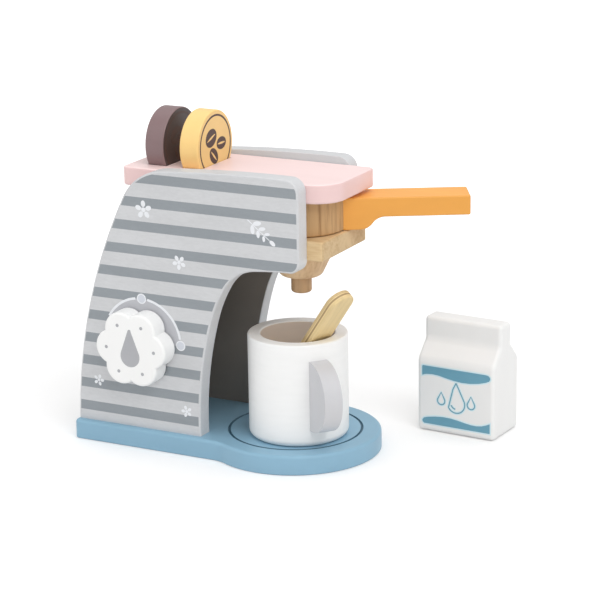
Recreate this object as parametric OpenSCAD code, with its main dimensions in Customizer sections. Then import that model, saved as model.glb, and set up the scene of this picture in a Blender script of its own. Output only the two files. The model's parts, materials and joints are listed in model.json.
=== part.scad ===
// Wooden toy coffee maker: two side panels on a round-nosed base, a top plate
// that holds two coffee pods, a swinging filter with a handle over a drip
// funnel, a turning knob, a mug with a stirring spoon and a milk carton.
// Millimetres. +X points to the filter handle, +Z up. The origin is under the
// middle of the mug tray, on the face that the base rests on.

/* [Base plate] */
// Thickness of the base board
base_thick = 11.2; // [9:0.1:16]
// Radius of the round front of the base
base_nose_radius = 49; // [46:0.5:56]
// Half of the width of the straight part of the base
base_half_width = 41; // [39:0.5:44]
// Distance from the tray centre to the rear edge of the base
base_rear_reach = 123.7; // [122:0.5:140]
// Radius of the two rear corners of the base
base_corner_radius = 3; // [1:0.5:8]
// Radius of the blend between the straight sides and the round front
base_blend_radius = 20; // [10:1:30]
// Radius of the ring groove that marks the mug's place, to its middle
tray_ring_radius = 37.9; // [32:0.1:42]
// Width of the ring groove
tray_ring_width = 1.5; // [1:0.1:3]
// Depth of the ring groove
tray_ring_depth = 0.8; // [0.4:0.1:2]

/* [Side panels] */
// Thickness of each side panel
panel_thick = 10; // [8:0.5:12]
// Clear gap between the two side panels
panel_gap = 54; // [50:0.5:56]
// Height of the side panels above the base board
panel_height = 154.1; // [150:0.1:170]
// Front face of the panels' head, forward of the tray centre
head_front = 23.1; // [18:0.1:26]
// Radius of the head's lower front corner
head_low_radius = 6; // [2:0.5:9]
// Radius of the head's upper front corner
head_top_radius = 8; // [4:0.5:12]
// Height of the crown of the head's underside above the base board
head_bottom = 101.9; // [98:0.1:106]
// Distance of the panel's front foot behind the tray centre
foot_front = 41.3; // [40:0.1:44]
// Radius of the long curve of the panels' rear edge
rear_curve_radius = 311; // [290:1:330]
// Height of the centre of that rear curve above the underside of the base
rear_curve_height = 3; // [0:0.5:8]
// Distance of the rearmost point of the panels behind the tray centre
rear_reach = 122.4; // [118:0.1:122.6]
// Radius of the shoulder between the rear curve and the top edge
shoulder_radius = 31.5; // [24:0.5:40]
// Radius of the long, shallow curve of the top edge
top_curve_radius = 860; // [600:10:1200]
// Place of the crown of that curve, forward of the tray centre
top_crown = 4; // [-10:1:12]
// Radius of the lower, flatter stretch of the arch
arch_low_radius = 218; // [190:1:250]
// Radius of the middle stretch of the arch
arch_mid_radius = 79.5; // [70:0.5:90]
// Radius of the tight top of the arch
arch_top_radius = 25.7; // [20:0.1:30]
// Radius of the shallow curve under the head
head_curve_radius = 200; // [150:5:300]
// Angle at which the lower stretch hands over to the middle one
arch_low_angle = 16.4; // [12:0.1:20]
// Angle at which the middle stretch hands over to the tight top
arch_mid_angle = 31.7; // [26:0.1:38]
// Angle at which the tight top hands over to the curve under the head
arch_top_angle = 83; // [78:0.5:86]

/* [Top plate] */
// Thickness of the top plate
plate_thick = 10.8; // [8:0.1:12]
// Height of the plate's upper face above the base board
plate_top = 149.9; // [146:0.1:152]
// Front edge of the plate, forward of the tray centre
plate_front = 38.3; // [34:0.1:44]
// Rear edge of the plate, behind the tray centre
plate_rear = 93.6; // [88:0.1:100]
// Radius of the plate's large front corner, on the knob's side
plate_big_corner = 17; // [10:0.5:20]
// Radius of the plate's other corners
plate_small_corner = 3.5; // [2:0.5:6]

/* [Pods] */
// Radius of each coffee pod
pod_radius = 20; // [17:0.1:21]
// Thickness of each pod
pod_thick = 12; // [10:0.5:14]
// Radius of the pod's rounded edges
pod_edge_radius = 1.1; // [0.5:0.1:3]
// Height of the pods' centres above the plate's upper face
pod_centre_rise = 10.5; // [9:0.1:12]
// Place of the front pod's middle, behind the tray centre
pod_front_place = 53.9; // [50:0.1:56]
// Distance between the two pods' middles
pod_pitch = 22.3; // [20:0.1:26]
// Play of a pod in its slot, on each side
slot_play = 0.3; // [0.2:0.05:0.6]

/* [Filter] */
// Place of the filter's axis, forward of the tray centre
filter_place = 5.2; // [3:0.1:7]
// Radius of the filter drum
drum_radius = 25.8; // [22:0.1:26.7]
// Gap between the drum and the boards above and below it
drum_play = 0.3; // [0.2:0.05:0.6]
// Length of the handle, from the drum's axis to its end
handle_reach = 93.7; // [80:0.1:110]
// Width of the handle
handle_width = 22.3; // [16:0.1:24]
// Height of the handle's grip
grip_height = 11; // [8:0.1:13]
// Gap between the handle's top and the underside of the plate
handle_drop = 2.3; // [1.5:0.1:4]
// Distance from the drum's axis to the start of the curve under the handle
root_reach = 32.5; // [30:0.5:40]
// Length of the curve under the handle
root_curve_length = 14; // [10:0.5:18]
// Angle of the handle away from straight ahead, as it rests
handle_angle = 29.6; // [0:0.1:34]

/* [Drip funnel] */
// Thickness of the funnel's square board
slab_thick = 10.9; // [9:0.1:14]
// Clear height between the top plate and that board, which holds the filter
filter_space = 20.7; // [18:0.1:24]
// Front edge of the board, forward of the tray centre
slab_front = 32.6; // [30:0.1:36]
// Rear edge of the board, behind the tray centre
slab_rear = 20; // [16:0.5:24]
// Height of the funnel's cone under the board
cone_height = 16.5; // [14:0.1:20]
// Radius of the cone at the board
cone_top_radius = 19.5; // [17:0.1:21]
// Radius of the cone at its lower end
cone_low_radius = 13; // [11:0.1:15]
// Radius of the rounded lower edge of the cone
cone_edge_radius = 4; // [1:0.1:5]
// Radius of the spout dowel, which is also the filter's pivot
spout_radius = 5.8; // [4:0.1:7]
// Length of the spout dowel below the cone
spout_drop = 9.6; // [6:0.1:12]
// Length of the spout dowel inside the filter drum
pivot_depth = 10; // [6:0.5:14]
// Radius of the rounded end of the spout dowel
spout_edge_radius = 1.8; // [0.5:0.1:3]
// Radial clearance of the pivot in the drum's bore
pivot_play = 0.08; // [0.03:0.01:0.1]

/* [Knob] */
// Overall radius of the knob over its lobes
knob_radius = 22.6; // [18:0.1:26]
// Radius of each lobe of the knob
lobe_radius = 10.3; // [9:0.1:12]
// Number of lobes round the knob
lobe_count = 6; // [5:1:8]
// Thickness of the knob
knob_thick = 12; // [8:0.5:14]
// Distance of the knob's axis behind the tray centre
knob_place = 78.4; // [76:0.1:82]
// Height of the knob's axis above the base board
knob_height = 50.2; // [46:0.1:54]
// Radius of the knob's axle
axle_radius = 4; // [3:0.5:6]
// Radial clearance of the axle in the panel's bore
axle_play = 0.08; // [0.03:0.01:0.1]
// Depth of the axle's seat in the knob
axle_seat = 8; // [5:0.5:8]
// Radius of the washer between the knob and the panel
washer_radius = 9; // [7:0.5:12]
// Thickness of the washer
washer_thick = 0.8; // [0.5:0.1:1.5]
// Radius of the retaining disc inside the panel
retainer_radius = 9; // [7:0.5:12]
// Thickness of the retaining disc
retainer_thick = 5; // [3:0.5:7]

/* [Mug] */
// Outer radius of the mug
mug_radius = 28.3; // [26:0.1:30]
// Height of the mug
mug_height = 59.5; // [54:0.1:62]
// Inner radius of the mug
mug_bore_radius = 20.9; // [18:0.1:21.5]
// Depth of the mug's bore
mug_bore_depth = 45.5; // [40:0.5:48]
// Radius of the rounded lower edge of the mug
mug_foot_radius = 4; // [2:0.5:6]
// Radius of the rounded edges of the mug's rim
mug_rim_radius = 1; // [0.6:0.1:2]
// Radius of the fillet at the bottom of the bore
mug_floor_radius = 5; // [2:0.5:6]
// Place of the mug's axis, forward of the tray centre
mug_place = 5.3; // [3:0.1:8]
// Distance of the mug's axis from the middle plane, towards the knob's side
mug_side = 5.8; // [3:0.1:8]
// Direction in which the mug's handle points, from straight ahead
mug_handle_angle = -39.4; // [-45:0.1:0]
// Thickness of the mug's handle
mug_handle_thick = 10.6; // [9:0.1:14]
// Distance that the mug's handle stands out from the mug
mug_handle_reach = 21.3; // [16:0.1:24]
// Radius of the handle's round outline
mug_handle_radius = 20.1; // [16:0.1:24]
// Height of the middle of that outline above the mug's foot
mug_handle_rise = 30.1; // [26:0.1:34]

/* [Spoon] */
// Width of the spoon's flat stick
spoon_width = 16.5; // [12:0.5:18]
// Thickness of the spoon's stick
spoon_thick = 5.6; // [4:0.1:7]
// Lean of the spoon away from upright
spoon_lean = 37.5; // [30:0.1:38]
// Direction in which the spoon leans, from straight ahead
spoon_angle = -19.5; // [-30:0.5:0]
// Length of the spoon beyond the mug's rim
spoon_above_rim = 35; // [25:0.5:45]
// Gap that keeps the spoon just clear of the mug
spoon_play = 0.25; // [0.2:0.05:0.5]

/* [Milk carton] */
// Width of the carton's front
carton_width = 49.5; // [40:0.1:55]
// Depth of the carton
carton_depth = 31.8; // [26:0.1:36]
// Height of the carton
carton_height = 66.5; // [60:0.1:75]
// Height of the carton's straight body
carton_body_height = 43.7; // [38:0.1:46]
// Height of the carton's top band
carton_band_height = 13; // [8:0.1:14]
// Distance by which the top band is set back, front and rear
carton_inset = 9.4; // [6:0.1:11]
// Place of the carton's near left corner, forward of the tray centre
carton_x = 50.4; // [45:0.1:80]
// Place of that corner to the side of the tray centre
carton_y = 56.1; // [50:0.1:90]
// Turn of the carton about the vertical
carton_turn = -3.5; // [-10:0.5:10]

/* [Rear board and fasteners] */
// Thickness of the rear board
rear_board_thick = 8; // [6:0.5:10]
// Height of the rear board's lower edge above the base board
rear_board_low = 2; // [1:0.5:6]
// Height of the rear board's upper edge above the base board
rear_board_high = 124; // [110:1:128]
// Distance of the rear board's ends inside the panels' rear edge
rear_board_margin = 3; // [2:0.5:5]
// Radius of the joining dowels
dowel_radius = 3; // [2:0.5:3.5]
// Depth of a dowel in a side panel
dowel_panel_depth = 7; // [5:0.5:8]
// Depth of a dowel in the board between the panels
dowel_board_depth = 11; // [8:0.5:13]
// Clearance between a dowel or a screw and its hole
dowel_play = 0.05; // [0.02:0.01:0.1]
// Shank radius of the base screws
screw_radius = 1.8; // [1.5:0.1:2.5]
// Head radius of the base screws
screw_head_radius = 3.6; // [3:0.1:4.5]
// Length of the base screws
screw_length = 32; // [25:1:40]
// Depth by which the screw heads are sunk below the base's face
screw_sink = 1; // [0.6:0.1:2]
// Distance of the rearmost screws from the panels' rear edge
screw_rear_inset = 18; // [14:1:24]
// Distance of the foremost screws from the panels' front foot
screw_front_inset = 16; // [12:1:22]

/* [Hidden] */
$fn = 96;
e = 0.01;                       // overshoot of cutting shapes
through = 1;                    // overshoot of a hole at each end
far = 400;                      // reach of cutting shapes beyond the model

// Heights above the underside of the base
panel_top_z = base_thick + panel_height;
head_z = base_thick + head_bottom;
plate_top_z = base_thick + plate_top;
plate_low_z = plate_top_z - plate_thick;
slab_top_z = plate_low_z - filter_space;
slab_low_z = slab_top_z - slab_thick;
cone_low_z = slab_low_z - cone_height;
spout_low_z = cone_low_z - spout_drop;
pod_z = plate_top_z + pod_centre_rise;

panel_inner = panel_gap / 2;
panel_outer = panel_inner + panel_thick;
panel_middle = (panel_inner + panel_outer) / 2;

// Each curve reaches past the next one by a hair, so that their edges cross
bite = 0.02;

// Centres of the panel's rear curve, of its top edge's curve and of the
// shoulder between them
rear_centre = [rear_curve_radius - rear_reach, rear_curve_height];
top_centre = [top_crown, panel_top_z - top_curve_radius];
shoulder_centre = meeting(rear_centre, rear_curve_radius - shoulder_radius + bite,
                          top_centre, top_curve_radius - shoulder_radius + bite);
shoulder_join_z = rear_centre[1] + (shoulder_centre[1] - rear_centre[1])
    * rear_curve_radius / norm(shoulder_centre - rear_centre);
top_join_x = top_centre[0] + (shoulder_centre[0] - top_centre[0])
    * top_curve_radius / norm(shoulder_centre - top_centre);

// Centres of the head's two front corners
brow_x = head_front - head_top_radius + bite;
brow_centre = [brow_x, top_centre[1] + side_of(top_curve_radius - head_top_radius + bite,
                                               brow_x - top_centre[0])];

// Centres of the arch's four curves, each taking over from the last
function heading(angle) = [-cos(angle), sin(angle)];
arch_low_gap = arch_low_radius - arch_mid_radius + bite;
arch_mid_gap = arch_mid_radius - arch_top_radius + bite;
arch_top_gap = head_curve_radius - arch_top_radius + bite;
arch_low_z = head_z - head_curve_radius + arch_top_gap * sin(arch_top_angle)
    - arch_mid_gap * sin(arch_mid_angle) - arch_low_gap * sin(arch_low_angle);
arch_low_centre = [arch_low_radius - foot_front, arch_low_z];
arch_mid_centre = arch_low_centre + arch_low_gap * heading(arch_low_angle);
arch_top_centre = arch_mid_centre + arch_mid_gap * heading(arch_mid_angle);
head_curve_centre = arch_top_centre - arch_top_gap * heading(arch_top_angle);
arch_low_join_z = arch_low_z + arch_low_radius * sin(arch_low_angle);
arch_mid_join_z = arch_mid_centre[1] + arch_mid_radius * sin(arch_mid_angle);
arch_top_join_x = head_curve_centre[0] - head_curve_radius * cos(arch_top_angle);

chin_x = head_front - head_low_radius + bite;
chin_gap = head_curve_radius + head_low_radius - bite;
chin_centre = [chin_x, head_curve_centre[1] + side_of(chin_gap, chin_x - head_curve_centre[0])];
chin_join_x = head_curve_centre[0]
    + (chin_x - head_curve_centre[0]) * head_curve_radius / chin_gap;

// Filter
handle_top_z = plate_low_z - handle_drop;
grip_low_z = handle_top_z - grip_height;
drum_low_z = slab_top_z + drum_play;
drum_top_z = plate_low_z - drum_play;
root_low_z = drum_low_z;
handle_mid_z = (handle_top_z + root_low_z) / 2;
handle_dowel_out = 14;          // length of the handle's dowel in the handle
handle_dowel_in = 11;           // and in the drum

// Knob
knob_z = base_thick + knob_height;
knob_back_y = -(panel_outer + washer_thick);
knob_front_y = knob_back_y - knob_thick;
knob_hub_radius = knob_radius - lobe_radius;
retainer_y = -panel_inner;
knob_running_gap = 0.2;         // end play of the knob and its retainer

// Mug and spoon
mug_foot_z = base_thick;
mug_rim_z = mug_foot_z + mug_height;
mug_floor_z = mug_rim_z - mug_bore_depth;
mug_handle_centre = mug_radius + mug_handle_reach - mug_handle_radius;
mug_dowel_out = 8;              // length of each mug dowel in the handle
mug_dowel_in = 5;               // and in the mug's wall
mug_dowel_pitch = 20;           // distance between the two dowels
mug_dowel_heights = [mug_handle_rise - mug_dowel_pitch / 2, mug_handle_rise + mug_dowel_pitch / 2];
spoon_rim_chord = sqrt(pow(mug_bore_radius + mug_rim_radius, 2) - pow(spoon_width / 2, 2));
spoon_at_rim = spoon_rim_chord
    - (mug_rim_radius + spoon_play - mug_rim_radius * sin(spoon_lean)) / cos(spoon_lean);
spoon_below_rim = (mug_bore_depth - spoon_play) / cos(spoon_lean);

// Dowels between the panels: place and height of each, one list per board
plate_dowel_places = [[12, plate_top_z - plate_thick / 2], [-38, plate_top_z - plate_thick / 2]];
slab_dowel_places = [[-12, slab_top_z - slab_thick / 2], [14, slab_top_z - slab_thick / 2]];
board_low = [rear_edge(base_thick + rear_board_low) + rear_board_margin, base_thick + rear_board_low];
board_high = [rear_edge(base_thick + rear_board_high) + rear_board_margin,
              base_thick + rear_board_high];
board_length = norm(board_high - board_low);
board_tilt = atan2(board_high[0] - board_low[0], board_high[1] - board_low[1]);
board_dowel_shares = [0.2, 0.8];
board_dowel_places = [for (share = board_dowel_shares)
    board_low + share * board_length * [sin(board_tilt), cos(board_tilt)]
              + rear_board_thick / 2 * [cos(board_tilt), -sin(board_tilt)]];
board_dowel_wall = 1.5;           // least wood beside a dowel in the rear board
board_dowel_radius = min(dowel_radius, rear_board_thick / 2 - board_dowel_wall);
screw_places = [-rear_reach + screw_rear_inset, -(rear_reach + foot_front) / 2,
                -foot_front - screw_front_inset];

// The other short side of a right-angled triangle
function side_of(long, short) = sqrt(pow(long, 2) - pow(short, 2));

// The upper left point at two given distances from two centres
function meeting(p, p_far, q, q_far) =
    let (span = norm(q - p), along = (pow(p_far, 2) - pow(q_far, 2) + pow(span, 2)) / (2 * span),
         off = side_of(p_far, along), way = (q - p) / span)
    p + along * way + off * [way[1], -way[0]];

// Place of the panel's rear edge at a height on its long curve
function rear_edge(z) = rear_centre[0] - sqrt(pow(rear_curve_radius, 2) - pow(z - rear_curve_height, 2));

// ---------- shared shapes ----------

// The X-Z outline of a piece, standing upright and centred on y = 0
module upright(thick) {
    rotate([90, 0, 0]) translate([0, 0, -thick / 2]) linear_extrude(thick) children();
}

// A square with its lower left corner at a point
module block(low, high) {
    translate(low) square(high - low);
}

// A rectangle from one corner to another, with the same radius on each corner
module rounded_block(low, high, radius) {
    block([low[0] + radius, low[1]], [high[0] - radius, high[1]]);
    block([low[0], low[1] + radius], [high[0], high[1] - radius]);
    for (x = [low[0] + radius, high[0] - radius], y = [low[1] + radius, high[1] - radius])
        translate([x, y]) circle(radius);
}

// A disc's half outline, from the axis to the radius, with round outer corners
module disc_profile(radius, thick, low_edge, high_edge) {
    corner = max(low_edge, high_edge);
    block([0, 0], [radius - corner, thick]);
    block([0, low_edge], [radius, thick - high_edge]);
    translate([radius - low_edge, low_edge]) circle(low_edge);
    translate([radius - high_edge, thick - high_edge]) circle(high_edge);
    block([0, 0], [radius - low_edge, thick / 2]);
    block([0, thick / 2], [radius - high_edge, thick]);
}

// ---------- base ----------

// The round nose and the straight part, joined by a blend on each side
module base_outline() {
    reach = base_nose_radius + base_blend_radius;
    centre = [-sqrt(pow(reach, 2) - pow(base_half_width + base_blend_radius, 2)),
              base_half_width + base_blend_radius];
    touch = centre * base_nose_radius / reach;
    difference() {
        union() {
            circle(base_nose_radius, $fn = 180);
            rounded_block([-base_rear_reach, -base_half_width], [0, base_half_width], base_corner_radius);
            polygon([[centre[0], -centre[1]], [touch[0], -touch[1]], touch, centre]);
        }
        translate(centre) circle(base_blend_radius, $fn = 180);
        translate([centre[0], -centre[1]]) circle(base_blend_radius, $fn = 180);
    }
}

module base_plate() {
    color([0.55, 0.70, 0.79])
    difference() {
        linear_extrude(base_thick) base_outline();
        translate([0, 0, base_thick - tray_ring_depth])
        linear_extrude(tray_ring_depth + e) difference() {
            circle(tray_ring_radius + tray_ring_width / 2, $fn = 180);
            circle(tray_ring_radius - tray_ring_width / 2, $fn = 180);
        }
        screws(dowel_play);
    }
}

// ---------- side panels ----------

// The panel behind its head's front face, before the arch is cut
module panel_blank() {
    intersection() {
        translate(rear_centre) circle(rear_curve_radius, $fn = 360);
        translate(top_centre) circle(top_curve_radius, $fn = 1440);
        union() {
            translate(shoulder_centre) circle(shoulder_radius, $fn = 180);
            block([-far, -far], [far, shoulder_join_z]);
            block([top_join_x, -far], [far, far]);
        }
        union() {
            translate(brow_centre) circle(head_top_radius);
            block([-far, -far], [brow_x, far]);
            block([-far, -far], [far, brow_centre[1]]);
        }
        block([-far, base_thick], [head_front, far]);
    }
}

module arch_outline() {
    intersection() {
        translate(arch_low_centre) circle(arch_low_radius, $fn = 360);
        union() {
            translate(arch_mid_centre) circle(arch_mid_radius, $fn = 240);
            block([-far, -far], [far, arch_low_join_z]);
        }
        union() {
            translate(arch_top_centre) circle(arch_top_radius, $fn = 180);
            block([-far, -far], [far, arch_mid_join_z]);
            block([arch_top_join_x, -far], [far, far]);
        }
        translate(head_curve_centre) circle(head_curve_radius, $fn = 360);
        block([-far, 0], [head_front + through, head_z + through]);
    }
}

module panel_outline() {
    difference() {
        panel_blank();
        arch_outline();
        difference() {
            block([chin_join_x, head_z - through], [head_front + through, chin_centre[1]]);
            translate(chin_centre) circle(head_low_radius);
        }
    }
}

// side is -1 for the panel with the knob and 1 for the other
module side_panel(side) {
    difference() {
        translate([0, side * panel_middle, 0]) upright(panel_thick) panel_outline();
        dowels(dowel_play);
        screws(dowel_play);
    }
}

module near_side_panel() {
    color([0.80, 0.81, 0.82])
    difference() {
        side_panel(-1);
        knob_bore(axle_radius + axle_play, panel_outer + through, panel_inner - through);
    }
}

module far_side_panel() {
    color([0.80, 0.81, 0.82]) side_panel(1);
}

// ---------- rear board ----------

module rear_board() {
    color([0.84, 0.74, 0.58])
    difference() {
        translate([board_low[0], 0, board_low[1]]) rotate([0, board_tilt, 0])
            translate([0, -panel_inner, 0]) cube([rear_board_thick, panel_gap, board_length]);
        dowels(dowel_play);
    }
}

// ---------- top plate ----------

module plate_outline() {
    low = [-plate_rear, -panel_inner];
    high = [plate_front, panel_inner];
    difference() {
        rounded_block(low, high, plate_small_corner);
        translate([high[0], low[1]]) difference() {
            block([-plate_big_corner, -through], [through, plate_big_corner]);
            translate([bite - plate_big_corner, plate_big_corner - bite]) circle(plate_big_corner);
        }
    }
}

// The slot that a pod stands in: as long as the pod is at the plate's face
module pod_slot(place) {
    half_length = sqrt(pow(pod_radius, 2) - pow(pod_centre_rise, 2)) + slot_play;
    translate([-place, 0]) square([pod_thick + 2 * slot_play, 2 * half_length], center = true);
}

module top_plate() {
    color([0.96, 0.86, 0.84])
    difference() {
        translate([0, 0, plate_low_z]) linear_extrude(plate_thick) difference() {
            plate_outline();
            pod_slot(pod_front_place);
            pod_slot(pod_front_place + pod_pitch);
        }
        dowels(dowel_play);
    }
}

// ---------- drip funnel ----------

module funnel_slab() {
    color([0.86, 0.74, 0.57])
    difference() {
        translate([-slab_rear, -panel_inner, slab_low_z])
            cube([slab_front + slab_rear, panel_gap, slab_thick]);
        translate([filter_place, 0, slab_low_z - through])
            cylinder(r = spout_radius + dowel_play, h = slab_thick + 2 * through);
        dowels(dowel_play);
    }
}

module cone_profile() {
    flat = cone_low_radius - cone_edge_radius;
    slope = atan2(cone_top_radius - cone_low_radius, cone_height);
    touch = [flat + cone_edge_radius * cos(slope), cone_edge_radius * (1 - sin(slope))];
    polygon([[0, 0], [flat, 0], [flat, cone_edge_radius], touch, [cone_top_radius, cone_height],
             [0, cone_height]]);
    intersection() {
        translate([flat, cone_edge_radius]) circle(cone_edge_radius);
        block([flat, 0], [cone_top_radius, touch[1] + e]);
    }
}

module funnel_cone() {
    color([0.84, 0.71, 0.54])
    translate([filter_place, 0, cone_low_z]) difference() {
        rotate_extrude() cone_profile();
        translate([0, 0, -through])
            cylinder(r = spout_radius + dowel_play, h = cone_height + 2 * through);
    }
}

module spout_dowel() {
    color([0.72, 0.56, 0.40])
    translate([filter_place, 0, spout_low_z]) rotate_extrude()
        disc_profile(spout_radius, slab_top_z + pivot_depth - spout_low_z, spout_edge_radius, 0.8);
}

// ---------- dowels and screws ----------

// One pair of dowels, in both panels, at a place and height
module dowel_pair(place, radius, play) {
    for (side = [-1, 1])
        translate([place[0], side * (panel_inner - dowel_board_depth - play), place[1]])
            rotate([-90 * side, 0, 0])
                cylinder(r = radius + play, h = dowel_board_depth + dowel_panel_depth + 2 * play);
}

module dowels(play) {
    for (place = concat(plate_dowel_places, slab_dowel_places)) dowel_pair(place, dowel_radius, play);
    for (place = board_dowel_places) dowel_pair(place, board_dowel_radius, play);
}

module panel_dowels() {
    color([0.80, 0.68, 0.50]) dowels(0);
}

// One countersunk screw, head down; play grows it into its hole
module screw(play) {
    translate([0, 0, screw_sink]) {
        cylinder(r1 = screw_head_radius + play, r2 = screw_radius + play,
                 h = screw_head_radius - screw_radius);
        cylinder(r = screw_radius + play, h = screw_length + play);
    }
    if (play > 0) translate([0, 0, -e])
        cylinder(r = screw_head_radius + play, h = screw_sink + 2 * e);
}

module screws(play) {
    for (x = screw_places, side = [-1, 1]) translate([x, side * panel_middle, 0]) screw(play);
}

module base_screws() {
    color([0.70, 0.70, 0.72]) screws(0);
}

// ---------- filter ----------

// The dowel that ties the handle to the drum, along the handle
module tie_dowel(play) {
    translate([filter_place, 0, handle_mid_z]) rotate([0, 0, handle_angle])
        translate([drum_radius - handle_dowel_in - play, 0, 0]) rotate([0, 90, 0])
            cylinder(r = dowel_radius + play, h = handle_dowel_in + handle_dowel_out + 2 * play);
}

module filter_drum() {
    color([0.69, 0.53, 0.38])
    difference() {
        translate([filter_place, 0, drum_low_z])
            cylinder(r = drum_radius, h = drum_top_z - drum_low_z, $fn = 180);
        translate([filter_place, 0, drum_low_z - through])
            cylinder(r = spout_radius + pivot_play, h = pivot_depth + through);
        tie_dowel(dowel_play);
    }
}

// Side view of the handle: a bar, a deep root and the curve between them
module handle_side() {
    rise = grip_low_z - root_low_z;
    bend = (pow(rise, 2) + pow(root_curve_length, 2)) / (4 * rise);
    middle = root_reach + root_curve_length / 2;
    block([0, grip_low_z - e], [handle_reach, handle_top_z]);
    block([0, root_low_z], [root_reach, handle_top_z]);
    intersection() {
        translate([root_reach, root_low_z + bend]) circle(bend);
        block([root_reach - e, root_low_z], [middle, handle_top_z]);
    }
    difference() {
        block([middle - e, root_low_z + rise / 2], [root_reach + root_curve_length, handle_top_z]);
        translate([root_reach + root_curve_length, grip_low_z - bend]) circle(bend);
    }
}

module filter_handle() {
    color([0.89, 0.64, 0.32])
    difference() {
        translate([filter_place, 0, 0]) rotate([0, 0, handle_angle]) upright(handle_width) handle_side();
        translate([filter_place, 0, 0]) cylinder(r = drum_radius + dowel_play, h = far, $fn = 180);
        tie_dowel(dowel_play);
    }
}

module handle_dowel() {
    color([0.80, 0.68, 0.50]) tie_dowel(0);
}

// ---------- knob ----------

// A round hole or bar along the knob's axis, between two distances in front
// of the middle plane
module knob_bore(radius, from, to) {
    translate([-knob_place, -from, knob_z]) rotate([-90, 0, 0]) cylinder(r = radius, h = from - to);
}

module knob_outline() {
    step = 360 / lobe_count;
    circle(knob_hub_radius + lobe_radius * 0.55);
    for (i = [0 : lobe_count - 1]) rotate(i * step)
        translate([knob_hub_radius, 0]) circle(lobe_radius);
}

module knob() {
    color([0.94, 0.94, 0.93])
    difference() {
        translate([-knob_place, knob_back_y, knob_z]) rotate([90, 0, 0])
            linear_extrude(knob_thick) knob_outline();
        knob_bore(axle_radius + dowel_play, -knob_back_y + axle_seat, 0);
    }
}

module knob_axle() {
    color([0.80, 0.68, 0.50])
    knob_bore(axle_radius, -knob_back_y + axle_seat - dowel_play,
              panel_inner - knob_running_gap - retainer_thick);
}

// A ring on the axle, between two distances in front of the middle plane
module axle_ring(radius, from, to) {
    difference() {
        knob_bore(radius, from, to);
        knob_bore(axle_radius + dowel_play, from + through, to - through);
    }
}

module knob_washer() {
    color([0.62, 0.62, 0.64]) axle_ring(washer_radius, -knob_back_y, panel_outer + knob_running_gap);
}

module knob_retainer() {
    color([0.80, 0.68, 0.50])
    axle_ring(retainer_radius, panel_inner - knob_running_gap,
              panel_inner - knob_running_gap - retainer_thick);
}

// ---------- pods ----------

module pod(place) {
    translate([-place - pod_thick / 2, 0, pod_z]) rotate([0, 90, 0])
        rotate_extrude($fn = 180) disc_profile(pod_radius, pod_thick, pod_edge_radius, pod_edge_radius);
}

module pod_caramel() {
    color([0.98, 0.82, 0.51]) pod(pod_front_place);
}

module pod_espresso() {
    color([0.37, 0.29, 0.29]) pod(pod_front_place + pod_pitch);
}

// ---------- mug ----------

// Half outline of the mug: rounded foot and rim outside, a round-bottomed bore
module mug_profile() {
    rim = mug_rim_radius;
    difference() {
        union() {
            block([0, 0], [mug_radius - mug_foot_radius, mug_height - rim]);
            block([0, mug_foot_radius], [mug_radius, mug_height - rim]);
            translate([mug_radius - mug_foot_radius, mug_foot_radius]) circle(mug_foot_radius);
            block([mug_bore_radius + rim, mug_height / 2], [mug_radius - rim, mug_height]);
            translate([mug_radius - rim, mug_height - rim]) circle(rim);
            translate([mug_bore_radius + rim, mug_height - rim]) circle(rim);
        }
        block([-e, mug_height - mug_bore_depth + mug_floor_radius], [mug_bore_radius, mug_height + e]);
        block([-e, mug_height - mug_bore_depth], [mug_bore_radius - mug_floor_radius, mug_height]);
        translate([mug_bore_radius - mug_floor_radius, mug_height - mug_bore_depth + mug_floor_radius])
            circle(mug_floor_radius);
    }
}

module at_mug() {
    translate([mug_place, -mug_side, mug_foot_z]) children();
}

module mug_pegs(play) {
    at_mug() rotate([0, 0, mug_handle_angle]) for (z = mug_dowel_heights)
        translate([mug_radius - mug_dowel_in - play, 0, z]) rotate([0, 90, 0])
            cylinder(r = dowel_radius + play, h = mug_dowel_in + mug_dowel_out + 2 * play);
}

module mug_body() {
    color([0.94, 0.94, 0.93])
    difference() {
        at_mug() rotate_extrude($fn = 180) mug_profile();
        mug_pegs(dowel_play);
    }
}

module mug_handle() {
    color([0.78, 0.78, 0.79])
    difference() {
        at_mug() rotate([0, 0, mug_handle_angle]) intersection() {
            upright(mug_handle_thick)
                translate([mug_handle_centre, mug_handle_rise]) circle(mug_handle_radius, $fn = 180);
            translate([mug_radius / 2, -mug_radius, 0]) cube([far, 2 * mug_radius, far]);
        }
        at_mug() translate([0, 0, -through])
            cylinder(r = mug_radius + dowel_play, h = far, $fn = 180);
        mug_pegs(dowel_play);
    }
}

module mug_dowels() {
    color([0.80, 0.68, 0.50]) mug_pegs(0);
}

// ---------- spoon ----------

module spoon() {
    half = spoon_width / 2;
    color([0.88, 0.79, 0.58])
    at_mug() rotate([0, 0, spoon_angle]) translate([spoon_at_rim, 0, mug_height])
        rotate([0, spoon_lean, 0]) translate([-spoon_thick, 0, 0]) rotate([0, 90, 0])
            linear_extrude(spoon_thick) {
                block([-spoon_above_rim + half, -half], [spoon_below_rim - half, half]);
                translate([-spoon_above_rim + half, 0]) circle(half);
                translate([spoon_below_rim - half, 0]) circle(half);
            }
}

// ---------- milk carton ----------

// End view of the carton: straight body, sloping shoulders and a top band
module carton_end() {
    band_z = carton_height - carton_band_height;
    polygon([[0, 0], [carton_depth, 0], [carton_depth, carton_body_height],
             [carton_depth - carton_inset, band_z], [carton_depth - carton_inset, carton_height],
             [carton_inset, carton_height], [carton_inset, band_z], [0, carton_body_height]]);
}

module milk_carton() {
    color([0.95, 0.95, 0.94])
    translate([carton_x, carton_y, 0]) rotate([0, 0, carton_turn]) rotate([90, 0, 90])
        linear_extrude(carton_width) carton_end();
}

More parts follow.
